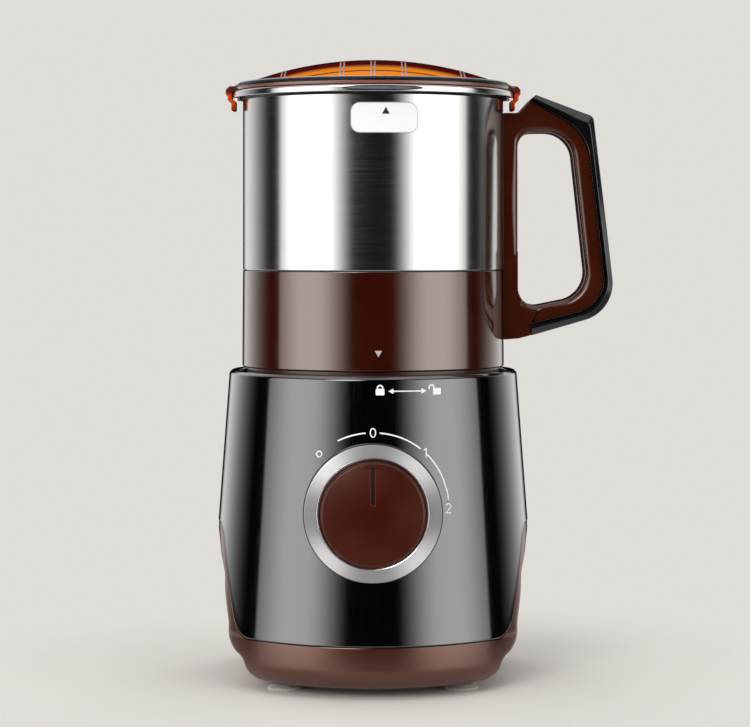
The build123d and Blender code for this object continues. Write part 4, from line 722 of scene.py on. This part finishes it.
def knob_skin():
    """Knob face as rings about its centre, bowed by the square of the distance from it. The face sinks by
    the pointer groove, a trough with soft sides and ends, and rises by the lug, a half disc at the rim. Its
    edge rolls over to the side. The rings' points crowd together near the groove."""
    s = np.linspace(-1, 1, 480, endpoint=False)
    turn = (pi / 2 + pi * (0.22 * s + 0.78 * s**3))[:, None]
    r = np.linspace(0, 21.1, 90)[None]
    right, up = r * np.cos(turn), r * np.sin(turn)
    along = soft_step(up, 3.9, 4.6) * (1 - soft_step(up, 20.0, 20.5))
    trough = 0.8 * along * (1 - soft_step(np.abs(right), 0.4, 1.2))
    disc = 1 - soft_step(np.hypot(right / 4.4, (up - 20.3) / 2.2), 0.86, 1.0)
    lug = 0.55 * disc * soft_step(up, 20.2, 20.5)
    face = knob_front - knob_bow * (r / knob_radius) ** 2 - trough + lug
    s = np.linspace(0, pi / 2, 8)[None]
    edge_r = 21.35 + 1.5 * np.sin(s)
    edge_out = knob_front - 0.85 * knob_bow - 1.3 * (1 - np.cos(s))
    side_r = np.array([[knob_radius, knob_radius, knob_radius - 0.4, 0.0]])
    side_out = np.array([[74.6, knob_back + 0.4, knob_back, knob_back]])
    ring_r = np.concatenate([r, edge_r, side_r], axis=1) + 0 * turn
    out = np.concatenate([face, edge_out + 0 * turn, side_out + 0 * turn], axis=1)
    return facing(ring_r * np.cos(turn), ring_r * np.sin(turn), out), True, False


for name, corners, material in (
    ("dial_bezel_ring", bezel_face, bezel_silver),
    ("dial_bezel_lip", bezel_inside, bezel_line),
    ("dial_bezel_step", bezel_outside, bezel_step_shade),
):
    fit(skin(name, [ring_about_dial(corners)]), "host", material, "silver_trim", "dial_bezel")
fit(skin("dial_knob", [knob_skin()]), "dial", knob_brown, "brown_plastic", "switch_knob")
# Dark bar on the floor of the pointer groove: painted shade of the groove.
pointer_up = np.linspace(4.4, 19.8, 20)[:, None]
groove_shade_bar = facing(
    np.array([-0.42, -0.42, 0.42, 0.42])[None], pointer_up,
    knob_front - np.array([2.5, 0.74, 0.74, 2.5])[None] - knob_bow * (pointer_up / knob_radius) ** 2,
)
fit(skin("dial_pointer_groove_shade", [(groove_shade_bar, False, True)]), "dial", pointer_groove_shade, "brown_plastic", "switch_knob")


# ---------------------------------------------------------------- cup
def cup_skin():
    """Steel cup: bowl, wall and turned-over rim as one section carried round the axis. In each side's
    notch the rim's outside draws in to the notch's radius, with a soft step at both ends."""
    half = outline(
        [
            (7.2, bowl_floor, 0), (bowl_radius, bowl_floor, 10), (bowl_radius, collar_top + 0.1, 0.2),
            (collar_radius, collar_top + 0.1, 0.6), (collar_radius, rim_top - steel, 0.2),
            (rim_radius - steel, rim_top - steel, 0.3), (rim_radius - steel, rim_bottom, 0.1),
            (rim_radius, rim_bottom, 1.2), (rim_radius, rim_top, 1.0),
            (collar_radius - steel, rim_top, 0.9), (collar_radius - steel, collar_top + 0.9, 0.3),
            (bowl_radius - steel, collar_top + 0.9, 0.3), (bowl_radius - steel, bowl_floor + steel, 9.2),
            (7.2, bowl_floor + steel, 0),
        ],
        steps=9,
    )
    step = radians(0.35)
    edge = radians(notch_half_angle)
    near = np.concatenate([[a - step, a + step] for a in (-edge, edge, pi - edge, pi + edge)])
    turn = np.unique(np.concatenate([full_turn(360), near % (2 * pi)]))[:, None]
    aside = np.abs((turn + pi / 2) % pi - pi / 2)
    notch = 1 - soft_step(aside, edge - step, edge + step)
    r, z = half[None, :, 0] + 0 * turn, half[None, :, 1] + 0 * turn
    outside = (r > notch_radius) & (z > rim_bottom - 1)
    r = np.where(outside, r + (notch_radius - r) * notch, r)
    return swept(np.stack([r, z], axis=-1), turn[:, 0]), True, True


collar = turned(
    [
        (collar_foot_radius - 2.5, collar_bottom, 0.3), (collar_foot_radius, collar_bottom, 0.9),
        (collar_radius, collar_top, 0.5), (collar_radius - 3.1, collar_top, 0.2),
        (collar_radius - 3.1, collar_top - 2.3, 0.2), (collar_radius - 2.5, collar_top - 3.8, 0.3),
    ]
)
# Dark ring on the wall under the rim: painted shadow of the rim's overhang.
rim_shadow_ring = turned(
    [
        (collar_radius - 0.3, rim_bottom - 1.0, 0), (collar_radius + 0.25, rim_bottom - 0.9, 0.1),
        (collar_radius + 1.6, rim_bottom + 0.1, 0.3), (collar_radius + 1.6, rim_bottom + 1.2, 0.2),
        (collar_radius - 0.3, rim_bottom + 1.2, 0),
    ]
)
fit(skin("steel_cup", [cup_skin()]), "cup", cup_steel, "stainless", "grinding_cup")
fit(skin("rim_painted_shadow", [rim_shadow_ring]), "cup", rim_shadow_steel, "stainless", "grinding_cup")
fit(skin("cup_collar_shell", [collar]), "cup", brown_gloss, "brown_plastic", "cup_collar")

# ---------------------------------------------------------------- handle
opening = rounded(
    [
        (66.6, rim_top - 18.9, 6.7), (90.6, rim_top - 18.9, 14.9),
        (98.8, collar_bottom + 32.9, 13.0), (66.6, collar_bottom + 26.4, 8.0),
    ],
    steps=21,
)
seam = [
    (71.8, rim_top - 4.1, 0), (98.1, rim_top - 18.9, 25.0),
    (107.4, collar_bottom + 28.6, 15.6), (72.4, collar_bottom + 20.1, 0),
]
loop_outside = rounded(
    [
        (60.4, rim_top - 9.9, 0.8), (66.6, rim_top - 9.9, 3.0), *seam,
        (72.4, collar_bottom + 14.4, 0.6), (66.8, collar_bottom + 12.9, 1.0),
        (60.4, collar_bottom + 12.4, 0.8),
    ],
    steps=21,
)


def stretch_between(corners, first, last):
    """The outline's points from the middle of one corner's arc to the middle of another's."""
    count = corners.shape[1]
    flat = np.concatenate([corners.reshape(-1, 2)] * 2)
    stop = last if last > first else last + len(corners)
    return flat[first * count + count // 2 : stop * count + count // 2 + 1]


def loop_skin():
    """Brown loop: the opening's outline and the loop's outside are walked together, corner to corner,
    and a section with rounded edges is carried along between them. Only the block at the lower left, which
    holds the loop's end, keeps its edges sharp. A point of the section is the opening's point plus its
    distance along the line to the outside, at its own depth. Where it meets the cup, the back is hollowed
    by the cup wall's circle."""
    runs = [((3, 0), (8, 0)), ((0, 1), (0, 3)), ((1, 2), (3, 4)), ((2, 3), (4, 8))]
    inside = np.concatenate([evenly(stretch_between(opening, *i), 110)[:-1] for i, _ in runs])
    outside = np.concatenate([evenly(stretch_between(loop_outside, *o), 110)[:-1] for _, o in runs])
    way = outside - inside
    length = np.linalg.norm(way, axis=1)[:, None]
    way = way / length
    s = np.linspace(0, pi / 2, 9)[None]
    small, half = 0.5, handle_half_width
    block = (1 - soft_step(inside[:, 1], 194.4, 194.9)) * (1 - soft_step(inside[:, 0], 68.4, 68.9))
    edge = 3.2 - 2.7 * block[:, None]
    near = np.concatenate([edge * (1 - np.cos(s)), edge + 0.4], axis=1)
    depth_in = np.concatenate([half - edge + edge * np.sin(s), half + 0 * edge], axis=1)
    from_out = np.concatenate([[[small + 0.3]], small * (1 - np.sin(s[:, ::2]))], axis=1)
    depth_out = np.concatenate([[[half]], half - small + small * np.cos(s[:, ::2])], axis=1) + 0 * length
    far = length - from_out
    distance = np.concatenate([near, far, far[:, ::-1], near[:, ::-1]], axis=1)
    depth = np.concatenate([depth_in, depth_out, -depth_out[:, ::-1], -depth_in[:, ::-1]], axis=1)
    x = inside[:, :1] + way[:, :1] * distance
    z = inside[:, 1:] + way[:, 1:] * distance
    y = depth + 0 * x
    wall = 60.4
    hollow = wall - np.sqrt(wall**2 - y**2)
    x = x - hollow * np.clip((wall + 4.6 - x) / 4.6, 0, 1)
    return np.stack([x, y, z], axis=-1), True, True


def grip_skin():
    """Black outer grip: a section with rounded edges carried between the seam and the grip's outside,
    walked together corner to corner. Both ends are drawn in over three sections and close on a point."""
    inner = rounded(seam, steps=21)
    outer = rounded(
        [
            (74.9, rim_top - 1.6, 0), (101.6, rim_top - 11.5, 3.0),
            (111.8, collar_bottom + 25.5, 17.5), (72.7, collar_bottom + 14.2, 0),
        ],
        steps=21,
    )
    runs = [((0, 1), 60), ((1, 2), 90), ((2, 3), 60)]
    near = np.concatenate([evenly(stretch_between(inner, *r), n)[(k > 0) :] for k, (r, n) in enumerate(runs)])
    far = np.concatenate([evenly(stretch_between(outer, *r), n)[(k > 0) :] for k, (r, n) in enumerate(runs)])
    way = far - near
    length = np.linalg.norm(way, axis=1)[:, None]
    way = way / length
    s = np.linspace(0, pi / 2, 7)
    half = grip_half_width
    small = np.minimum(1.0, 0.3 * length)
    shoulder = outline([(-7, 0, 0), (-4.0, 0, 1.2), (-0.5, -2.7, 0.9), (0, -5, 0)], steps=6)[2:-2]
    keep = np.clip(length / 7.5, 0.05, 1)
    low_d, low_h = small * (1 - np.cos(s)), half - small + small * np.sin(s)
    high_d, high_h = length + keep * shoulder[:, 0], half + keep * shoulder[:, 1]
    distance = np.concatenate([low_d, high_d, high_d[:, ::-1], low_d[:, ::-1]], axis=1)
    depth = np.concatenate([low_h, high_h, -high_h[:, ::-1], -low_h[:, ::-1]], axis=1)
    x, z = near[:, :1] + way[:, :1] * distance, near[:, 1:] + way[:, 1:] * distance
    body = np.stack([x, depth, z], axis=-1)
    ends = []
    for k, further in ((0, 3), (-1, -4)):
        row, inward = body[k].copy(), (body[further] - body[k]).mean(axis=0)
        middle = row.mean(axis=0)
        steps = ((0, 0), (0.9, 0), (0.975, 0.05))
        ends.append(np.array([middle + (row - middle) * size + inward * lift for size, lift in steps]))
        body[k] = row + 0.16 * inward
    return np.concatenate([ends[0], body, ends[1][::-1]]), False, True


fit(skin("handle_loop", [loop_skin()]), "cup", handle_brown, "brown_plastic", "cup_handle")
fit(skin("handle_outer_grip", [grip_skin()]), "cup", grip_black, "grip_black", "handle_grip")


# ---------------------------------------------------------------- lid
def dome(distance, drop=0.0):
    """Height of the dome's sphere at a distance from the axis, or of one that lies drop inside it."""
    return dome_centre + np.sqrt((dome_radius - drop) ** 2 - distance**2)


def dome_skin():
    """Amber dome: the outer sphere from the crown to its base and the inner sphere back, one wall apart."""
    out_r = np.linspace(0, dome_base_radius, 60)
    in_r = out_r[::-1] * (56.5 / dome_base_radius)
    half = np.stack([np.concatenate([out_r, in_r]), np.concatenate([dome(out_r), dome(in_r, 2.0)])], axis=1)
    return swept(half, full_turn(288)), True, True


def flange_skin():
    """Smoked ring under the dome: its flat flange outside and the spigot with its seal groove inside."""
    return turned(
        [
            (55.8, 262.8, 0.3), (57.8, 262.8, 0.3), (57.8, 264.4, 0.1), (56.2, 264.4, 0.1),
            (56.2, 267.8, 0.1), (57.8, 267.8, 0.1), (57.8, lid_bottom, 0.2), (64.0, lid_bottom, 0.4),
            (64.0, lid_bottom + 1.5, 0.2), (59.5, lid_bottom + 1.5, 0.2), (56.6, 271.0, 0.3),
            (55.8, 269.6, 0.3),
        ]
    )


def bead_skin():
    """Bead on the flange, whose rounded shoulder meets the dome's foot. Its near-black colour is painted
    shade, the dark line along the flange's top edge.
    """
    return turned(
        [
            (59.0, lid_bottom + 1.3, 0.1), (63.95, lid_bottom + 1.3, 0.2), (63.95, lid_bottom + 2.5, 0.8),
            (62.0, lid_bottom + 3.3, 0.8), (58.0, lid_bottom + 3.3, 0.2),
        ]
    )


def closed_bar(bar):
    """A bar's sections with each end closed on its last section's middle."""
    caps = [np.broadcast_to(bar[k].mean(axis=0), bar[k].shape)[None] for k in (0, -1)]
    return np.concatenate([caps[0], bar, caps[1]]), False, True


def chord_skin():
    """Dark line that the dome's inner ledge shows: a thin bar across the dome, 50 in front of the axis."""
    x = np.linspace(-36, 36, 80)[:, None]
    s = full_turn(10)[None]
    taper = np.sqrt(np.clip((36 - np.abs(x)) / 2, 0, 1))
    y = -50.0 + 0.75 * taper * np.cos(s)
    z = dome(np.hypot(x, y)) + 0.12 * taper * np.sin(s)
    return closed_bar(np.stack([x + 0 * s, y, z], axis=-1))


def hook_skins():
    """Two hooks: the outline of knuckle, arm, nub and tip, carried over a short arc about the axis. The
    outside's eight corners lead and the inside's eight follow back, so the outline and the same outline
    read backwards average to the hook's middle line, and the ends close onto that line."""
    profile = outline(
        [
            (62.6, lid_bottom + 2.4, 0.4), (66.8, lid_bottom + 2.2, 0.9), (68.25, lid_bottom + 0.8, 0.8),
            (68.25, lid_bottom - 1.4, 0.7), (67.35, lid_bottom - 2.0, 0.5), (67.35, lid_bottom - 3.8, 0.7),
            (65.65, lid_bottom - 5.5, 0.5), (65.65, lid_bottom - 8.9, 0.8), (63.75, lid_bottom - 8.9, 0.8),
            (63.75, lid_bottom - 4.4, 0.6), (65.45, lid_bottom - 4.0, 0.4), (65.45, lid_bottom - 2.4, 0),
            (65.45, lid_bottom - 1.4, 0), (65.45, lid_bottom - 0.1, 0.3), (64.6, lid_bottom - 0.07, 0),
            (62.6, lid_bottom, 0.2),
        ]
    )
    middle = (profile + profile[::-1]) / 2
    swing = radians(hook_half_angle) * np.array([-1, -1, -0.985, -0.955, -0.5, 0, 0.5, 0.955, 0.985, 1, 1])
    shrink = np.array([0, 0.8, 0.95, 1, 1, 1, 1, 1, 0.95, 0.8, 0])[:, None, None]
    sections = middle + (profile - middle) * shrink
    return [(swept(sections, swing + side), False, True) for side in (0.0, pi)]


def rib_skins():
    """Raised ribs on the dome, in pairs of low rounded bars that run down the dome on both sides of the
    lid; the pale bars are painted highlights, the lit edges of the ribs. A bar's section is an ellipse laid
    on the dome's sphere, and its ends sink into the dome."""
    ribs = []
    for across in (-40.4, -13.8, 0.0, 13.8, 40.4):
        for aside in (-0.8, 0.8):
            for side in (-1, 1):
                middle = across + aside
                far = (58.4**2 - middle**2) ** 0.5
                near = max(14.0, far - 36.0) if across else 14.0
                y = side * np.linspace(near, far, 40)[:, None]
                s = full_turn(12)[None]
                x = middle + 0.42 * np.cos(s) + 0 * y
                taper = np.minimum((np.abs(y) - near) / 3.0, (far - np.abs(y)) / 1.2).clip(0, 1)
                z = dome(np.hypot(x, y)) + 0.30 * np.sin(s) * np.sqrt(taper) - 0.05
                ribs.append(closed_bar(np.stack([x, y + 0 * s, z], axis=-1)))
    return ribs


fit(skin("lid_dome", [dome_skin()]), "lid", lid_amber, "amber_clear", "sealing_lid")
fit(skin("lid_flange", [flange_skin()]), "lid", lid_smoke, "amber_clear", "sealing_lid")
fit(skin("lid_bead", [bead_skin()]), "lid", lid_bead_painted_shade, "amber_clear", "sealing_lid")
# Pale ring on the flange's top edge: a painted highlight.
lip = turned([(61.2, 271.9, 0.1), (62.4, 271.9, 0.2), (62.3, 272.5, 0.25), (61.0, 272.55, 0.2)])
fit(skin("lid_highlight_lip", [lip]), "lid", lid_lip_painted_highlight, "amber_clear", "sealing_lid")
fit(skin("lid_inner_line", [chord_skin()]), "lid", lid_chord_dark, "amber_clear", "sealing_lid")
fit(skin("lid_hooks", hook_skins()), "lid", hook_amber, "amber_clear", "sealing_lid")
fit(skin("lid_ribs", rib_skins()), "lid", rib_highlight_amber, "amber_clear", "sealing_lid")


# ---------------------------------------------------------------- printed marks
def stroke(path, width, ring=False, low=-0.25, high=0.05):
    """Flat bar along (across, up) points, half its width to each side of the path's direction. An open
    bar's ends close on the path's end points."""
    path = np.array(path, float)
    if ring:
        along = np.roll(path, -1, axis=0) - np.roll(path, 1, axis=0)
    else:
        along = np.gradient(path, axis=0)
    along = along / np.linalg.norm(along, axis=1)[:, None]
    aside = np.stack([-along[:, 1], along[:, 0]], axis=1) * width / 2
    left, right = path + aside, path - aside
    low_, high_ = np.full((len(path), 1), low), np.full((len(path), 1), high)
    bar = np.stack(
        [np.c_[left, low_], np.c_[right, low_], np.c_[right, high_], np.c_[left, high_]], axis=1
    )
    return (bar, True, True) if ring else closed_bar(bar)


def plate(edge, rings=3, low=-0.25, high=0.05):
    """Flat plate inside an outline of (across, up) points: both faces are rings of points that run from
    the outline's middle to the outline."""
    edge = np.array(edge, float)
    middle = edge.mean(axis=0)
    share = np.linspace(0, 1, rings + 1)[None, :, None]
    face = middle + (edge[:, None] - middle) * share
    under = np.concatenate([face, np.full((*face.shape[:2], 1), low)], axis=2)
    over = np.concatenate([face, np.full((*face.shape[:2], 1), high)], axis=2)[:, ::-1]
    return np.concatenate([under, over], axis=1), True, False


def on_front(flat, radius_at):
    """Lays a mark on a round body: across is measured along the surface from the middle of the front, so
    its angle is across over the radius at that height."""
    points, ring_rows, ring_cols = flat
    across, up, off = points[..., 0], points[..., 1], points[..., 2]
    radius = radius_at(up)
    angle = across / radius
    return (
        np.stack([(radius + off) * np.sin(angle), -(radius + off) * np.cos(angle), up], axis=-1),
        ring_rows,
        ring_cols,
    )


def arc(radius, start, stop, count):
    """Points on a circle about the dial's centre; angles in degrees, clockwise from the top."""
    a = np.radians(np.linspace(start, stop, count))
    return np.stack([radius * np.sin(a), knob_height + radius * np.cos(a)], axis=1)


def oval(half_width, half_height, count):
    """Points on an ellipse about its own middle."""
    a = full_turn(count)
    return np.stack([half_width * np.cos(a), half_height * np.sin(a)], axis=1)


def shifted(path, across, up):
    """A path moved by across and up."""
    return np.array(path, float) + np.array([across, up])


def dial_marks():
    """Arc in three pieces, the numbers 0, 1 and 2, and a small ring where the dial's left stop is."""
    mark_radius = 34.9
    one = evenly(np.array([(-0.85, 1.15), (0.15, 2.05), (0.15, -2.05)]), 40)
    bow = np.radians(np.linspace(170, -38, 26))
    two = np.concatenate(
        [
            np.stack([1.12 * np.cos(bow), 0.95 + 1.08 * np.sin(bow)], axis=1),
            np.array([(-1.2, -1.95), (-1.1, -2.0), (1.3, -2.0)]),
        ]
    )
    return [
        stroke(arc(mark_radius, -26.5, -5.2, 40), 0.62),
        stroke(arc(mark_radius, 4.8, 37.4, 60), 0.62),
        stroke(arc(mark_radius, 43.5, 81.5, 60), 0.62),
        stroke(shifted(oval(1.15, 1.85, 40), 0.0, knob_height + mark_radius), 0.5, ring=True),
        stroke(shifted(one, 23.6, knob_height + 25.9), 0.5),
        stroke(shifted(evenly(two, 50), 34.4, knob_height + 1.4), 0.5),
        stroke(shifted(oval(1.2, 1.2, 32), -24.0, knob_height + 25.4), 0.5, ring=True),
    ]


def padlock(across, up, open_side):
    """Padlock sign: a rounded body and a shackle, which stands off to the left where it is open."""
    body = outline([(-1.9, -2.2, 0.4), (1.9, -2.2, 0.4), (1.9, 0.6, 0.4), (-1.9, 0.6, 0.4)], steps=5)
    a = np.radians(np.linspace(180, 0, 24))
    bow = np.stack([1.15 * np.cos(a), 1.0 + 1.05 * np.sin(a)], axis=1)
    shackle = np.concatenate([[(-1.15, 0.4)], bow, [(1.15, 0.4 if not open_side else 0.9)]])
    shackle = shifted(shackle, -2.6 if open_side else 0.0, 0.0)
    if open_side:
        shackle = np.concatenate([[(-3.75, 0.2)], shackle[1:-1], [(-1.45, 0.5)]])
    return [
        plate(shifted(body, across, up)),
        stroke(shifted(evenly(shackle, 40), across, up), 0.62),
    ]


def lock_marks():
    """Closed padlock, double arrow and open padlock, side by side near the housing's top."""
    up, left, right = 134.1, 6.7, 23.9
    heads = [
        [(left, up), (left + 2.3, up + 1.15), (left + 2.3, up - 1.15)],
        [(right, up), (right - 2.3, up - 1.15), (right - 2.3, up + 1.15)],
    ]
    bar = evenly(np.array([(left + 2.0, up), (right - 2.0, up)]), 40)
    return [
        *padlock(3.1, up + 0.5, False),
        *padlock(29.0, up + 0.5, True),
        stroke(bar, 0.5),
        *[plate(evenly(np.array([*h, h[0]]), 25)[:-1]) for h in heads],
    ]


def triangle(across, up, width, height):
    """Outline of a triangle about its middle; a negative height points it down."""
    left, right, low = across - width / 2, across + width / 2, up - height / 2
    corners = np.array([(left, low), (right, low), (across, up + height / 2), (left, low)])
    return evenly(corners, 31)[:-1]


def collar_at(height):
    """Collar's radius at a height, straight from its foot to its top."""
    rise = (height - collar_bottom) / (collar_top - collar_bottom)
    return collar_foot_radius - (collar_foot_radius - collar_radius) * rise


def wall_at(height):
    """The steel wall's radius, the same at every height."""
    return collar_radius + 0 * height


def rim_at(height):
    """The rim's outside radius."""
    return rim_radius + 0 * height


def rounded_plate(left, right, low, high, rounding):
    """Outline of a plate with rounded corners, as evenly spaced points."""
    corners = [(left, low), (right, low), (right, high), (left, high)]
    return evenly(outline([(*corner, rounding) for corner in corners], steps=15), 160)[:-1]


def lens(left, right, middle, half_height):
    """Outline of a long lens: its half height follows the root of one less the power 2.6 of the place s
    along it, with s from -1 to 1."""
    s = np.linspace(-1, 1, 80)
    up = half_height * np.sqrt(np.clip(1 - np.abs(s) ** 2.6, 0, 1))
    along = left + (right - left) * (s + 1) / 2
    over = np.stack([along, middle + up], axis=1)
    return np.concatenate([over, np.stack([along, middle - up], axis=1)[-2:0:-1]])


label_edge = rounded_plate(-9.6, 19.9, 247.7, 260.5, 3.9)
# A grey rim just outside the label's edge, which draws the label's dark outline.
label_border = rounded_plate(-9.95, 20.25, 247.35, 260.85, 4.2)
patch_edge = lens(-13.6, 22.6, 266.95, 1.05)
patch_inner = lens(-11.8, 20.8, 266.95, 0.55)
marks = [
    ("dial_marks", dial_marks(), housing_radius, "host", mark_white),
    ("lock_marks", lock_marks(), housing_radius, "host", mark_white),
    ("collar_pointer", [plate(triangle(2.4, 150.1, 3.2, -2.8))], collar_at, "cup", mark_grey),
    ("cup_label", [plate(label_edge, rings=14, high=0.12)], wall_at, "cup", label_white),
    ("label_border", [plate(label_border, rings=14, high=0.06)], wall_at, "cup", mark_grey),
    ("label_pointer", [plate(triangle(5.7, 257.2, 3.4, 3.1), high=0.17)], wall_at, "cup", mark_black),
    ("rim_etched_patch", [plate(patch_edge, rings=8, high=0.04)], rim_at, "cup", etched_grey),
    ("rim_patch_middle", [plate(patch_inner, rings=6, high=0.06)], rim_at, "cup", etched_line),
]
for name, flats, radius_at, body, material in marks:
    fit(skin(name, [on_front(flat, radius_at) for flat in flats]), body, material, "silver_trim")


# ---------------------------------------------------------------- floor, light and camera
pale = (0.745, 0.723, 0.690)


def studio_floor():
    """Round floor whose points lie on rings, plain and pale, which fades out into the background."""
    far = np.array([0, 100, 200, 400, 700, 1100, 1600.0])
    turn = full_turn(96)[:, None]
    rings = np.stack([far * np.cos(turn), far * np.sin(turn), 0 * far - 0.02 + 0 * turn], axis=-1)
    mesh = bpy.data.meshes.new("studio_floor")
    quads = faces_of(96, len(far), True, False)
    mesh.from_pydata((rings.reshape(-1, 3) / 1000).tolist(), [], quads.tolist())
    floor = bpy.data.objects.new("studio_floor", mesh)
    bpy.context.scene.collection.objects.link(floor)
    material, nodes, links, shader = finish("studio_floor", (0.97, 0.95, 0.912), 0.45)
    place = nodes.new("ShaderNodeTexCoord")
    distance = nodes.new("ShaderNodeVectorMath")
    distance.operation = "LENGTH"
    links.new(place.outputs["Object"], distance.inputs[0])
    fade = nodes.new("ShaderNodeMapRange")
    fade.interpolation_type = "SMOOTHERSTEP"
    fade.inputs["From Min"].default_value, fade.inputs["From Max"].default_value = 0.08, 0.25
    fade.inputs["To Min"].default_value, fade.inputs["To Max"].default_value = 1.0, 0.0
    links.new(distance.outputs["Value"], fade.inputs["Value"])
    links.new(fade.outputs["Result"], shader.inputs["Alpha"])
    mesh.materials.append(material)


def studio_world():
    """Plain soft studio, by the turn from the front: two broad light boxes at the left and right, dark
    between and beside them, a small round one high at the front left, and soft light from behind, above and
    below. The brightest of them counts. Camera and transmission rays see the backdrop's plain colour."""
    world = bpy.data.worlds.new("studio")
    bpy.context.scene.world = world
    world.use_nodes = True
    nodes, links = world.node_tree.nodes, world.node_tree.links
    nodes.clear()
    math = sums(nodes, links)

    def ease(value, start, stop):
        node = nodes.new("ShaderNodeMapRange")
        node.interpolation_type = "SMOOTHSTEP"
        links.new(value, node.inputs["Value"])
        node.inputs["From Min"].default_value = start
        node.inputs["From Max"].default_value = stop
        return node.outputs["Result"]

    place = nodes.new("ShaderNodeTexCoord")
    split = nodes.new("ShaderNodeSeparateXYZ")
    links.new(place.outputs["Generated"], split.inputs[0])
    x, y, z = split.outputs
    turn = math("ARCTAN2", math("ABSOLUTE", x), math("MULTIPLY", y, -1.0))
    far_edge = math("SUBTRACT", 1.0, ease(turn, radians(88), radians(91.5)))
    box = math("MULTIPLY", ease(turn, radians(16), radians(50)), far_edge)
    box = math("MULTIPLY", box, math("MULTIPLY_ADD", ease(turn, radians(62), radians(96)), -0.7, 1.0))
    tall = math("MULTIPLY", ease(z, -0.36, -0.2), math("SUBTRACT", 1.0, ease(z, 0.36, 0.56)))
    box = math("MULTIPLY", box, tall)
    gap = ease(turn, radians(151), radians(163))
    back = math("MULTIPLY", ease(turn, radians(100), radians(146)), math("SUBTRACT", 1.0, gap))
    above = ease(z, 0.55, 0.95)
    below = math("SUBTRACT", 1.0, ease(z, -0.45, -0.1))
    aim = math("ADD", math("MULTIPLY", y, -0.82), math("MULTIPLY", z, 0.44))
    key = ease(math("ADD", math("MULTIPLY", x, -0.37), aim), 0.95, 0.99)
    light = math("ADD", math("MULTIPLY", box, 2.9), 0.004)
    for part, strength in ((key, 6.0), (back, 1.05), (above, 1.3), (below, 0.3)):
        light = math("MAXIMUM", light, math("MULTIPLY", part, strength))
    studio = nodes.new("ShaderNodeBackground")
    studio.inputs["Color"].default_value = (1.0, 0.985, 0.965, 1)
    links.new(light, studio.inputs["Strength"])
    plain = nodes.new("ShaderNodeBackground")
    plain.inputs["Color"].default_value = (*pale, 1)
    ray = nodes.new("ShaderNodeLightPath")
    seen = math("MAXIMUM", ray.outputs["Is Camera Ray"], ray.outputs["Is Transmission Ray"])
    mix = nodes.new("ShaderNodeMixShader")
    links.new(seen, mix.inputs[0])
    links.new(studio.outputs[0], mix.inputs[1])
    links.new(plain.outputs[0], mix.inputs[2])
    out = nodes.new("ShaderNodeOutputWorld")
    links.new(mix.outputs[0], out.inputs["Surface"])


studio_floor()
studio_world()

camera = bpy.data.objects.new("camera", bpy.data.cameras.new("camera"))
bpy.context.scene.collection.objects.link(camera)
camera.data.lens = 119.1
camera.data.sensor_width = 36.0
camera.data.shift_y = -0.1647
camera.data.clip_start, camera.data.clip_end = 0.05, 20.0
camera.location = (0.0009, -1.15, 0.2002)
camera.rotation_euler = (radians(90), 0, 0)
bpy.context.scene.camera = camera
bpy.context.scene.view_settings.view_transform = "Standard"
